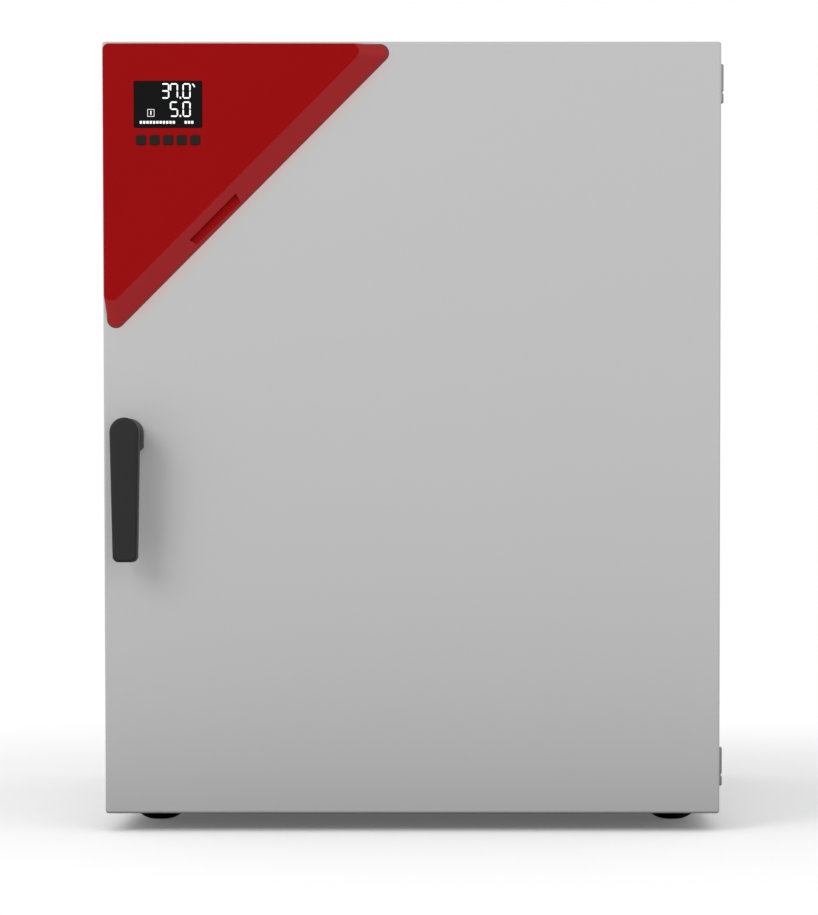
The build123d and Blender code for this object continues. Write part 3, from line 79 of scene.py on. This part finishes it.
PURE_WHITE = (1, 1, 1, 1)


def add_node(tree, kind, inputs=None, **settings):
    """A shader node with its settings, and its inputs set by name or number."""
    node = tree.nodes.new("ShaderNode" + kind)
    for setting, value in settings.items():
        setattr(node, setting, value)
    for socket, value in (inputs or {}).items():
        node.inputs[socket].default_value = value
    return node


def new_shader(name):
    """A material with one principled shader, and its node tree."""
    material = bpy.data.materials.new(name)
    material.use_nodes = True
    tree = material.node_tree
    tree.nodes.clear()
    output = add_node(tree, "OutputMaterial")
    shader = add_node(tree, "BsdfPrincipled")
    tree.links.new(shader.outputs["BSDF"], output.inputs["Surface"])
    return material, tree, shader


def object_place(tree):
    """The surface point, in the object's own metres."""
    return add_node(tree, "TexCoord").outputs["Object"]


def noise(tree, scale, stretch=(1, 1, 1), detail=3.0):
    """Noise over the object's own metres, stretched where the finish has a grain."""
    mapping = add_node(tree, "Mapping", {"Scale": stretch})
    texture = add_node(tree, "TexNoise", {"Scale": scale, "Detail": detail})
    tree.links.new(object_place(tree), mapping.inputs["Vector"])
    tree.links.new(mapping.outputs["Vector"], texture.inputs["Vector"])
    return texture.outputs["Fac"]


def cells(tree, scale, feature="F1"):
    """Cells over the object's own metres, with one random colour each."""
    texture = add_node(tree, "TexVoronoi", feature=feature)
    texture.inputs["Scale"].default_value = scale
    tree.links.new(object_place(tree), texture.inputs["Vector"])
    return texture


def tint(tree, shader, factor, color, spread):
    """Varies the base colour by a share of itself, up and down."""
    dark = (*[c * (1 - spread) for c in color], 1)
    light = (*[min(1, c * (1 + spread)) for c in color], 1)
    mix = add_node(tree, "Mix", {6: dark, 7: light}, data_type="RGBA")
    tree.links.new(factor, mix.inputs[0])
    tree.links.new(mix.outputs[2], shader.inputs["Base Color"])


def vary_roughness(tree, shader, factor, roughness, spread):
    """Varies the roughness a little over the surface."""
    ends = {"To Min": roughness - spread, "To Max": roughness + spread}
    span = add_node(tree, "MapRange", ends)
    tree.links.new(factor, span.inputs["Value"])
    tree.links.new(span.outputs["Result"], shader.inputs["Roughness"])


def relief(tree, shader, height, depth):
    """Raises the surface by a height field, depth in millimetres."""
    bump = add_node(tree, "Bump", {"Strength": 1.0, "Distance": depth * MM})
    tree.links.new(height, bump.inputs["Height"])
    tree.links.new(bump.outputs["Normal"], shader.inputs["Normal"])


GLOSS_PATCHES = 4
GLOSS_SHARE = 1 / 7


def finish(
    name, color, roughness, grain, depth, metallic=0.0, specular=0.5, stretch=(1, 1, 1),
    spread=0.03, patches=9.0, sockets=(),
):
    """A moulded, painted or metal finish: patchy colour, uneven gloss and a fine grain."""
    material, tree, shader = new_shader(name)
    shader.inputs["Metallic"].default_value = metallic
    shader.inputs["Specular IOR Level"].default_value = specular
    for socket, value in sockets:
        shader.inputs[socket].default_value = value
    gloss = noise(tree, GLOSS_PATCHES * patches, stretch)
    tint(tree, shader, noise(tree, patches), color, spread)
    vary_roughness(tree, shader, gloss, roughness, GLOSS_SHARE * roughness)
    relief(tree, shader, noise(tree, grain, stretch), depth)
    return material


def powder_coat(name):
    """Fine powder coat of the casing and the door."""
    return finish(
        name, POWDER_GREY, roughness=0.42, grain=1300.0, depth=0.02, specular=0.35,
        spread=0.012, patches=2.2,
    )


def zinc_coat():
    """Galvanised sheet with its spangle."""
    material, tree, shader = new_shader("galvanised")
    shader.inputs["Metallic"].default_value = 0.75
    spangle = cells(tree, scale=140.0)
    tint(tree, shader, spangle.outputs["Color"], ZINC, spread=0.12)
    vary_roughness(tree, shader, spangle.outputs["Distance"], roughness=0.42, spread=0.07)
    relief(tree, shader, noise(tree, scale=600.0), depth=0.05)
    return material


def mineral_wool():
    """Pressed fibres, in pale and dark strands."""
    material, tree, shader = new_shader("mineral_wool")
    strands = noise(tree, scale=60.0, stretch=(1, 9, 1), detail=8.0)
    tint(tree, shader, strands, WOOL, spread=0.35)
    shader.inputs["Roughness"].default_value = 0.95
    shader.inputs["Sheen Weight"].default_value = 0.3
    relief(tree, shader, strands, depth=1.2)
    return material


def crinkled_foil():
    """Thin foil pressed over its wires, with sharp creases."""
    material, tree, shader = new_shader("heater_foil")
    shader.inputs["Metallic"].default_value = 1.0
    creases = cells(tree, scale=90.0, feature="DISTANCE_TO_EDGE")
    tint(tree, shader, noise(tree, scale=30.0), FOIL, spread=0.08)
    vary_roughness(tree, shader, noise(tree, scale=120.0), roughness=0.3, spread=0.08)
    relief(tree, shader, creases.outputs["Distance"], depth=0.8)
    return material


def circuit():
    """Circuit board lacquer over fine tracks."""
    material, tree, shader = new_shader("circuit_green")
    tracks = cells(tree, scale=260.0)
    tracks.distance = "CHEBYCHEV"
    tint(tree, shader, tracks.outputs["Distance"], BOARD_GREEN, spread=0.45)
    vary_roughness(tree, shader, noise(tree, scale=80.0), roughness=0.35, spread=0.05)
    relief(tree, shader, tracks.outputs["Distance"], depth=0.06)
    return material


def clear_glass():
    """Toughened pane, clear with a faint green depth and a few wipe marks."""
    material, tree, shader = new_shader("pane_glass")
    shader.inputs["Transmission Weight"].default_value = 1.0
    shader.inputs["IOR"].default_value = 1.5
    wipes = noise(tree, scale=14.0, stretch=(1, 1, 5))
    tint(tree, shader, noise(tree, scale=5.0), GLASS_TINT, spread=0.01)
    vary_roughness(tree, shader, wipes, roughness=0.03, spread=0.015)
    return material


def lit_figure():
    """The display's lit figures, with the faint raster of their cells."""
    material, tree, shader = new_shader("figure_white")
    tint(tree, shader, noise(tree, scale=4200.0), FIGURE_WHITE, spread=0.05)
    shader.inputs["Roughness"].default_value = 0.4
    shader.inputs["Emission Color"].default_value = (*FIGURE_WHITE, 1)
    shader.inputs["Emission Strength"].default_value = 0.35
    return material


finishes = {
    "powder_coat": powder_coat("powder_coat"),
    "panel_red": finish(
        "panel_red", PANEL_RED, roughness=0.34, grain=2600.0, depth=0.01, specular=0.05,
        spread=0.04, patches=6.0,
    ),
    "display_black": finish(
        "display_black", DISPLAY_BLACK, roughness=0.10, grain=1800.0, depth=0.002, specular=0.06,
        spread=0.15, patches=40.0,
    ),
    "key_black": finish(
        "key_black", KEY_BLACK, roughness=0.50, grain=3200.0, depth=0.02, specular=0.1,
        spread=0.12, patches=60.0,
    ),
    "handle_black": finish(
        "handle_black", LEVER_BLACK, roughness=0.46, grain=2400.0, depth=0.03, specular=0.15,
        spread=0.08, patches=25.0,
    ),
    "rose_grey": finish(
        "rose_grey", ROSE_GREY, roughness=0.50, grain=2400.0, depth=0.03, specular=0.25,
        spread=0.06, patches=25.0,
    ),
    "stainless": finish(
        "stainless", STAINLESS, roughness=0.30, grain=70.0, depth=0.02, metallic=1.0,
        stretch=(1, 60, 60), spread=0.05, patches=14.0,
    ),
    "galvanised": zinc_coat(),
    "hinge_steel": finish(
        "hinge_steel", HINGE_STEEL, roughness=0.38, grain=160.0, depth=0.03, metallic=0.9,
        stretch=(1, 1, 14), spread=0.08, patches=60.0,
    ),
    "brass": finish(
        "brass", BRASS, roughness=0.28, grain=500.0, depth=0.02, metallic=1.0,
        stretch=(1, 8, 1), spread=0.08, patches=50.0,
    ),
    "pane_glass": clear_glass(),
    "seal_grey": finish(
        "seal_grey", SEAL_GREY, roughness=0.62, grain=900.0, depth=0.04, spread=0.06
    ),
    "gasket_black": finish(
        "gasket_black", GASKET_BLACK, roughness=0.60, grain=900.0, depth=0.04, spread=0.10
    ),
    "foot_black": finish(
        "foot_black", FOOT_BLACK, roughness=0.48, grain=700.0, depth=0.06, spread=0.15,
        patches=30.0,
    ),
    "mineral_wool": mineral_wool(),
    "heater_foil": crinkled_foil(),
    "circuit_green": circuit(),
    "hose_clear": finish(
        "hose_clear", HOSE_CLEAR, roughness=0.32, grain=500.0, depth=0.03, spread=0.05,
        patches=30.0, sockets=[("Transmission Weight", 0.55), ("IOR", 1.42)],
    ),
    "filter_white": finish(
        "filter_white", CAPSULE_WHITE, roughness=0.40, grain=1200.0, depth=0.02, spread=0.03,
        patches=30.0,
    ),
    "inlet_black": finish(
        "inlet_black", FOOT_BLACK, roughness=0.45, grain=1800.0, depth=0.02, spread=0.15,
        patches=40.0,
    ),
}
# Finish of the panel's sloping edge, with a painted highlight in its paler red
bevel_highlight_finish = finish(
    "bevel_red_painted_highlight", BEVEL_HIGHLIGHT_RED, roughness=0.40, grain=2600.0, depth=0.01, specular=0.1,
    spread=0.04, patches=6.0,
)
shadow_line_finish = finish(
    "shadow_line_red", SHADOW_LINE_RED, roughness=0.55, grain=1800.0, depth=0.01, spread=0.1, patches=30.0
)
figure_finish = lit_figure()

for subpart in frame["record"]["subparts"]:
    mesh = nodes[subpart["node"]].data
    mesh.materials.clear()
    mesh.materials.append(finishes[subpart["material_slot"]])

# Foot of the control panel on the door: a rounded triangle, its corners measured in
# millimetres right and down from the door's upper left corner
door_low, door_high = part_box("door_skin")
PANEL_CORNERS = [(2.0, 4.0), (327.0, 4.0), (5.4, 325.6)]
PANEL_RADII = [7.0, 9.0, 9.0]
PANEL_LINE = sum(PANEL_CORNERS[1]) * MM

# Painted red reflection of the panel on the door beside its slanted edge, in metres
REFLECTION_REACH = 0.014
REFLECTION_SHARE = 0.85
REFLECTION_HALF = 0.225
REFLECTION_END = 0.05


def distance_along(tree, direction, start):
    """Distance from a plane square to the direction, the same on both sides."""
    reach = add_node(tree, "VectorMath", {1: direction}, operation="DOT_PRODUCT")
    offset = add_node(tree, "Math", {1: start}, operation="SUBTRACT")
    away = add_node(tree, "Math", operation="ABSOLUTE")
    tree.links.new(object_place(tree), reach.inputs[0])
    tree.links.new(reach.outputs["Value"], offset.inputs[0])
    tree.links.new(offset.outputs[0], away.inputs[0])
    return away.outputs[0]


def smooth_span(tree, value, start, end, near, far):
    """A value that goes smoothly from near at start to far at end."""
    ends = {"From Min": start, "From Max": end, "To Min": near, "To Max": far}
    span = add_node(tree, "MapRange", ends, interpolation_type="SMOOTHSTEP")
    tree.links.new(value, span.inputs["Value"])
    return span.outputs["Result"]


def coat_with_painted_reflection():
    """Powder coat with a faint painted red reflection of the panel on both sides of its slanted line.
    """
    material = powder_coat("door_coat_painted_reflection")
    tree = material.node_tree
    shader = next(node for node in tree.nodes if node.type == "BSDF_PRINCIPLED")
    plain = shader.inputs["Base Color"].links[0].from_socket
    line = (door_low.x - door_high.z + PANEL_LINE) * HALF_ROOT
    middle = (door_low.x + door_high.z) * HALF_ROOT
    across = distance_along(tree, (HALF_ROOT, 0, -HALF_ROOT), line)
    lengthwise = distance_along(tree, (HALF_ROOT, 0, HALF_ROOT), middle)
    share = add_node(tree, "Math", operation="MULTIPLY")
    mix = add_node(tree, "Mix", {7: (*PAINTED_REFLECTION_RED, 1)}, data_type="RGBA")
    fade = smooth_span(tree, across, 0.0, REFLECTION_REACH, REFLECTION_SHARE, 0.0)
    ends = smooth_span(tree, lengthwise, REFLECTION_HALF - REFLECTION_END, REFLECTION_HALF, 1.0, 0.0)
    tree.links.new(fade, share.inputs[0])
    tree.links.new(ends, share.inputs[1])
    tree.links.new(share.outputs[0], mix.inputs[0])
    tree.links.new(plain, mix.inputs[6])
    tree.links.new(mix.outputs[2], shader.inputs["Base Color"])
    return material


# The door's powder coat carries a painted red reflection beside the panel's slanted edge
nodes["door_skin"].data.materials[0] = coat_with_painted_reflection()

# The control panel's sloping edge is painted a slightly paler red than its face as a painted
# highlight, and has a more matt finish.
# Its polygons face forwards by less than the face and more than the walls do.
SLOPE_LEAST = 0.5
SLOPE_MOST = 0.98
panel_mesh = nodes["control_panel"].data
panel_mesh.materials.append(bevel_highlight_finish)
for polygon in panel_mesh.polygons:
    if SLOPE_LEAST < -polygon.normal.y < SLOPE_MOST:
        polygon.material_index = 1


def add_piece(name, work, material, body):
    """Makes an object of a finished bmesh, riding on a body."""
    mesh = bpy.data.meshes.new(name)
    bmesh.ops.recalc_face_normals(work, faces=work.faces)
    work.to_mesh(mesh)
    work.free()
    mesh.materials.append(material)
    piece = bpy.data.objects.new(name, mesh)
    bpy.context.scene.collection.objects.link(piece)
    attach(piece, body)


def bridge(work, ring, following):
    """Adds the band of faces between two rings of vertices."""
    for i in range(len(ring)):
        j = (i + 1) % len(ring)
        work.faces.new((ring[i], ring[j], following[j], following[i]))


# Display figures on the lens, measured from the window's upper left corner in millimetres
lens_low, lens_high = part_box("display_lens")
DIGIT_WIDTH = 9.0
DIGIT_HEIGHT = 16.8
STROKE = 1.55
SEGMENT_GAP = 0.28
ROW_TOPS = (2.4, 22.2)
TENS_LEFT = 29.9
UNITS_LEFT = 39.4
TENTHS_LEFT = 53.2
POINT_LEFT = 50.0
POINT_SIZE = (1.7, 2.0)
UNIT_MARK = [(63.4, 3.0), (65.2, 2.8), (67.2, 6.2), (66.0, 6.8)]
ICON_PLACE = (14.8, 30.6)
ICON_SIZE = (7.6, 8.1)
ICON_LINE = 0.5
ICON_BAR = (18.0, 32.4, 1.2, 4.4)
STRIP_TOP = 43.4
STRIP_PITCH = 3.6
STRIP_CELL = (2.5, 3.0)
STRIP_RUNS = ((11, 6.4), (3, 55.4))
FIGURE_RISE = 0.06
SEGMENTS_LIT = {"0": "abcdef", "3": "abcdg", "5": "acdfg", "7": "abcf"}


def plate_on_lens(work, corners):
    """Adds one lit shape, its corners in millimetres on the lens."""
    rings = []
    for rise in (-FIGURE_RISE, FIGURE_RISE):
        y = lens_low.y - rise * MM
        rings.append(
            [work.verts.new((lens_low.x + u * MM, y, lens_high.z - v * MM)) for u, v in corners]
        )
    back, front = rings
    work.faces.new(front)
    work.faces.new(back[::-1])
    bridge(work, back, front)


def segment(work, name, left, top):
    """Adds one of the seven bars of a digit, with pointed ends."""
    half = STROKE / 2
    middle = DIGIT_HEIGHT / 2
    long = DIGIT_WIDTH - STROKE
    tall = middle - half
    lie = {"a": half, "g": middle, "d": DIGIT_HEIGHT - half}
    stand = {"f": (0, 0), "b": (1, 0), "e": (0, 1), "c": (1, 1)}
    if name in lie:
        start = left + half + SEGMENT_GAP
        end = left + half + long - SEGMENT_GAP
        v = top + lie[name]
        corners = [
            (start, v), (start + half, v - half), (end - half, v - half),
            (end, v), (end - half, v + half), (start + half, v + half),
        ]
    else:
        side, lower = stand[name]
        u = left + half + side * long
        start = top + half + lower * tall + SEGMENT_GAP
        end = top + half + lower * tall + tall - SEGMENT_GAP
        corners = [
            (u, start), (u + half, start + half), (u + half, end - half),
            (u, end), (u - half, end - half), (u - half, start + half),
        ]
    plate_on_lens(work, corners)


def block(work, left, top, width, height):
    """Adds a plain lit rectangle."""
    right = left + width
    low = top + height
    plate_on_lens(work, [(left, top), (right, top), (right, low), (left, low)])


def icon(work):
    """Adds a small framed sign."""
    left, top = ICON_PLACE
    width, height = ICON_SIZE
    block(work, left, top, width, ICON_LINE)
    block(work, left, top + height - ICON_LINE, width, ICON_LINE)
    for side in (left, left + width - ICON_LINE):
        block(work, side, top + ICON_LINE, ICON_LINE, height - 2 * ICON_LINE)
    block(work, *ICON_BAR)


figures = bmesh.new()
upper_row, lower_row = ROW_TOPS
readings = [
    ("3", TENS_LEFT, upper_row), ("7", UNITS_LEFT, upper_row), ("0", TENTHS_LEFT, upper_row),
    ("5", UNITS_LEFT, lower_row), ("0", TENTHS_LEFT, lower_row),
]
for digit, left, top in readings:
    for name in SEGMENTS_LIT[digit]:
        segment(figures, name, left, top)
for top in ROW_TOPS:
    block(figures, POINT_LEFT, top + DIGIT_HEIGHT - POINT_SIZE[1], *POINT_SIZE)
plate_on_lens(figures, UNIT_MARK)
icon(figures)
for count, start in STRIP_RUNS:
    for step in range(count):
        block(figures, start + STRIP_PITCH * step, STRIP_TOP, *STRIP_CELL)
add_piece("display_figures", figures, figure_finish, "outer_door")

# Painted shadow line round the panel's foot: a thin dark red strip on the door where the panel's edge
# lies in shade
SHADOW_LINE_INSET = 0.5
SHADOW_LINE_WIDTH = 0.9
SHADOW_LINE_RISE = 0.25
CORNER_STEPS = 10


def rounded(corners, radii, grow):
    """Outline of a polygon with rounded corners, moved outwards by grow."""
    points = []
    count = len(corners)
    for i, (corner, radius) in enumerate(zip(corners, radii)):
        here = Vector(corner)
        before = (Vector(corners[i - 1]) - here).normalized()
        after = (Vector(corners[(i + 1) % count]) - here).normalized()
        half = before.angle(after) / 2
        inward = (before + after).normalized()
        centre = here + inward * (radius / math.sin(half))
        start = here + before * (radius / math.tan(half)) - centre
        end = here + after * (radius / math.tan(half)) - centre
        sweep = start.angle_signed(end)
        for step in range(CORNER_STEPS + 1):
            turned = start.copy()
            turned.rotate(Matrix.Rotation(-sweep * step / CORNER_STEPS, 2))
            points.append(centre + turned * ((radius + grow) / radius))
    return points


def door_ring(work, grow, rise):
    """A ring of vertices round the panel's foot, moved outwards and off the door's face."""
    ring = []
    for u, v in rounded(PANEL_CORNERS, PANEL_RADII, grow):
        place = (door_low.x + u * MM, door_low.y - rise * MM, door_high.z - v * MM)
        ring.append(work.verts.new(place))
    return ring


shadow_line = bmesh.new()
section = [(-SHADOW_LINE_INSET, 0), (-SHADOW_LINE_INSET, SHADOW_LINE_RISE), (SHADOW_LINE_WIDTH, SHADOW_LINE_RISE), (SHADOW_LINE_WIDTH, 0)]
rings = [door_ring(shadow_line, grow, rise) for grow, rise in section]
for ring, following in zip(rings, rings[1:] + rings[:1]):
    bridge(shadow_line, ring, following)
add_piece("panel_shadow_line", shadow_line, shadow_line_finish, "outer_door")

# Cross-head screws on the hinge leaves, the glass door's leaves and the rear panel.
# Shares of a head's radius and rise, and of the cross that is sunk in it.
HEAD_PROFILE = ((1.0, 0.0), (0.94, 0.55), (0.72, 1.0))
HEAD_SIDES = 24
CROSS_ARM = 0.55
CROSS_HALF = 0.13
CROSS_TAPER = 0.7
CROSS_FLOOR = 0.15


def closed_edges(work, ring):
    """The edges round a ring of vertices."""
    return [work.edges.get((a, b)) for a, b in zip(ring, ring[1:] + ring[:1])]


def screw_head(work, centre, outward, radius, rise):
    """Adds a domed head with a cross recess, flat on its centre point. Millimetres."""
    radius, rise = radius * MM, rise * MM
    rings = []
    for share, height in HEAD_PROFILE:
        ring = []
        for step in range(HEAD_SIDES):
            angle = 2 * math.pi * step / HEAD_SIDES
            across = Vector((math.cos(angle), 0, math.sin(angle))) * radius * share
            ring.append(work.verts.new(centre + across + outward * height * rise))
        rings.append(ring)
    for ring, following in zip(rings, rings[1:]):
        bridge(work, ring, following)
    work.faces.new(rings[0][::-1])
    arm = CROSS_ARM * radius
    half = CROSS_HALF * radius
    cross = [
        (half, arm), (half, half), (arm, half), (arm, -half), (half, -half), (half, -arm),
        (-half, -arm), (-half, -half), (-arm, -half), (-arm, half), (-half, half), (-half, arm),
    ]
    rim, sunk = [
        [
            work.verts.new(centre + Vector((taper * x, 0, taper * z)) + outward * rise * height)
            for x, z in cross
        ]
        for taper, height in ((1.0, 1.0), (CROSS_TAPER, CROSS_FLOOR))
    ]
    bridge(work, rim, sunk)
    work.faces.new(sunk)
    edges = closed_edges(work, rings[-1]) + closed_edges(work, rim)
    bmesh.ops.triangle_fill(work, edges=edges, use_beauty=True)


LEAF_THICKNESS = 2.4
LEAF_MIDDLE = 7.0
LEAF_SCREW_SHARES = (0.22, 0.78)
LEAF_SCREW = {"radius": 2.8, "rise": 0.35}
hinge_sides = [
    ("cabinet", "cabinet", FORWARD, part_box("front_frame")[0].y),
    ("door", "outer_door", BACKWARD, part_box("door_inner_panel")[1].y),
]
for place in ("upper", "lower"):
    for side, body, outward, seat_y in hinge_sides:
        low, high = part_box(f"hinge_{side}_{place}")
        leaf_y = seat_y + outward.y * LEAF_THICKNESS * MM
        screws = bmesh.new()
        for share in LEAF_SCREW_SHARES:
            spot = Vector((low.x + LEAF_MIDDLE * MM, leaf_y, low.z + share * (high.z - low.z)))
            screw_head(screws, spot, outward, **LEAF_SCREW)
        add_piece(
            f"hinge_{side}_{place}_screws", screws, finishes["hinge_steel"], body
        )

REAR_HEAD = 4.0
REAR_SINK = 0.05
REAR_DRIVE = {"radius": 2.6, "rise": 0.25}
rear_low, rear_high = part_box("rear_screws")
rear_rows = (rear_low.z + REAR_HEAD * MM, (rear_low.z + rear_high.z) / 2, rear_high.z - REAR_HEAD * MM)
drives = bmesh.new()
for x in (rear_low.x + REAR_HEAD * MM, rear_high.x - REAR_HEAD * MM):
    for z in rear_rows:
        spot = Vector((x, rear_high.y - REAR_SINK * MM, z))
        screw_head(drives, spot, BACKWARD, **REAR_DRIVE)
add_piece("rear_screw_drives", drives, finishes["hinge_steel"], "cabinet")

GLASS_LEAF_END = 10.0
GLASS_SCREW_COLUMNS = (4.0, 12.0)
GLASS_LEAF_THICKNESS = 1.5
GLASS_SCREW = {"radius": 2.2, "rise": 0.5}
leaves_low, leaves_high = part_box("glass_hinge_leaves")
leaf_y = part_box("glass_pane")[0].y - GLASS_LEAF_THICKNESS * MM
leaf_screws = bmesh.new()
for z in (leaves_low.z + GLASS_LEAF_END * MM, leaves_high.z - GLASS_LEAF_END * MM):
    for column in GLASS_SCREW_COLUMNS:
        spot = Vector((leaves_low.x + column * MM, leaf_y, z))
        screw_head(leaf_screws, spot, FORWARD, **GLASS_SCREW)
add_piece("glass_leaf_screws", leaf_screws, finishes["stainless"], "glass_door")

# Floor: a pale sheet that fills the view and keeps the shadow, graded by the distance
# from the cabinet's footprint in metres
FLOOR_HALF = 12.0
FLOOR_DROP = 0.0004
FOOTPRINT = (0.340, 0.345, 1.0)
FLOOR_GLOW = 0.11
SEEN_FROM, SEEN_TO = 0.15, 1.1
# Floor colour in reflected light, dark near the footprint: painted shade on the cabinet's lower part
BOUNCE_TO = 0.45
BOUNCE_DARK, BOUNCE_PALE = 0.12, 0.80


def floor_finish():
    """Pale and shaded near the cabinet, white away from it; in reflected light it is painted dark near
    the cabinet, a painted shade on the cabinet's lower part.
    """
    material = bpy.data.materials.new("floor")
    material.use_nodes = True
    tree = material.node_tree
    tree.nodes.clear()
    across = add_node(tree, "VectorMath", operation="ABSOLUTE")
    beyond = add_node(tree, "VectorMath", {1: FOOTPRINT}, operation="SUBTRACT")
    outside = add_node(tree, "VectorMath", operation="MAXIMUM")
    distance = add_node(tree, "VectorMath", operation="LENGTH")
    tree.links.new(object_place(tree), across.inputs[0])
    tree.links.new(across.outputs["Vector"], beyond.inputs[0])
    tree.links.new(beyond.outputs["Vector"], outside.inputs[0])
    tree.links.new(outside.outputs["Vector"], distance.inputs[0])
    away = distance.outputs["Value"]
    shown = add_node(tree, "BsdfDiffuse", {"Color": FLOOR_WHITE})
    glow = add_node(tree, "Emission", {"Strength": FLOOR_GLOW})
    near_floor = add_node(tree, "AddShader")
    white_floor = add_node(tree, "Emission", {"Strength": 1.0})
    seen_floor = add_node(tree, "MixShader")
    tree.links.new(shown.outputs[0], near_floor.inputs[0])
    tree.links.new(glow.outputs[0], near_floor.inputs[1])
    tree.links.new(smooth_span(tree, away, SEEN_FROM, SEEN_TO, 0.0, 1.0), seen_floor.inputs[0])
    tree.links.new(near_floor.outputs[0], seen_floor.inputs[1])
    tree.links.new(white_floor.outputs[0], seen_floor.inputs[2])
    bounce = add_node(tree, "BsdfDiffuse")
    bounce_shade = smooth_span(tree, away, 0.0, BOUNCE_TO, BOUNCE_DARK, BOUNCE_PALE)
    tree.links.new(bounce_shade, bounce.inputs["Color"])
    choice = add_node(tree, "MixShader")
    tree.links.new(add_node(tree, "LightPath").outputs["Is Camera Ray"], choice.inputs[0])
    tree.links.new(bounce.outputs[0], choice.inputs[1])
    tree.links.new(seen_floor.outputs[0], choice.inputs[2])
    tree.links.new(choice.outputs[0], add_node(tree, "OutputMaterial").inputs["Surface"])
    return material


floor_work = bmesh.new()
bmesh.ops.create_grid(floor_work, x_segments=2, y_segments=2, size=FLOOR_HALF)
floor_mesh = bpy.data.meshes.new("floor")
floor_work.to_mesh(floor_mesh)
floor_work.free()
floor_mesh.materials.append(floor_finish())
floor = bpy.data.objects.new("floor", floor_mesh)
bpy.context.scene.collection.objects.link(floor)
floor.location.z = -FLOOR_DROP

# World: white where the camera, reflections and the glass see it, softer as a light
WORLD_LIGHT = 0.78


def studio_world():
    """A plain white surround."""
    world = bpy.data.worlds.new("studio")
    world.use_nodes = True
    tree = world.node_tree
    tree.nodes.clear()
    path = add_node(tree, "LightPath")
    seen = add_node(tree, "Background", {"Color": PURE_WHITE})
    lit = add_node(tree, "Background", {"Color": PURE_WHITE, "Strength": WORLD_LIGHT})
    seen_or_mirrored = add_node(tree, "Math", operation="MAXIMUM")
    shown = add_node(tree, "Math", operation="MAXIMUM")
    choice = add_node(tree, "MixShader")
    tree.links.new(path.outputs["Is Camera Ray"], seen_or_mirrored.inputs[0])
    tree.links.new(path.outputs["Is Glossy Ray"], seen_or_mirrored.inputs[1])
    tree.links.new(seen_or_mirrored.outputs[0], shown.inputs[0])
    tree.links.new(path.outputs["Is Transmission Ray"], shown.inputs[1])
    tree.links.new(shown.outputs[0], choice.inputs[0])
    tree.links.new(lit.outputs[0], choice.inputs[1])
    tree.links.new(seen.outputs[0], choice.inputs[2])
    tree.links.new(choice.outputs[0], add_node(tree, "OutputWorld").inputs["Surface"])
    return world


def soft_lamp(name, place, size, power):
    """A square studio lamp, turned to the middle of the cabinet."""
    data = bpy.data.lights.new(name, "AREA")
    data.shape = "SQUARE"
    data.size = size
    data.energy = power
    lamp = bpy.data.objects.new(name, data)
    lamp.location = place
    towards = Vector(LAMP_AIM) - Vector(place)
    lamp.rotation_euler = towards.to_track_quat("-Z", "Y").to_euler()
    bpy.context.scene.collection.objects.link(lamp)


bpy.context.scene.world = studio_world()
LAMP_AIM = (0.0, 0.0, 0.45)
soft_lamp("key", (-2.4, -3.4, 2.4), size=2.0, power=50.0)
soft_lamp("fill", (2.2, -3.2, 1.4), size=2.4, power=16.0)

# Camera: a little below the cabinet's middle and tilted down, with the view moved off axis
CAMERA_PLACE = (0.097, -3.5415, 0.355)
CAMERA_PITCH = 87.97
CAMERA_LENS = 114.02
CAMERA_SENSOR = 36.0
CAMERA_SHIFT = (-0.0995, 0.1706)
camera_data = bpy.data.cameras.new("camera")
camera_data.lens = CAMERA_LENS
camera_data.sensor_width = CAMERA_SENSOR
camera_data.shift_x, camera_data.shift_y = CAMERA_SHIFT
camera = bpy.data.objects.new("camera", camera_data)
camera.location = CAMERA_PLACE
camera.rotation_euler = (math.radians(CAMERA_PITCH), 0, 0)
bpy.context.scene.collection.objects.link(camera)
bpy.context.scene.camera = camera

bpy.context.scene.view_settings.view_transform = "Standard"
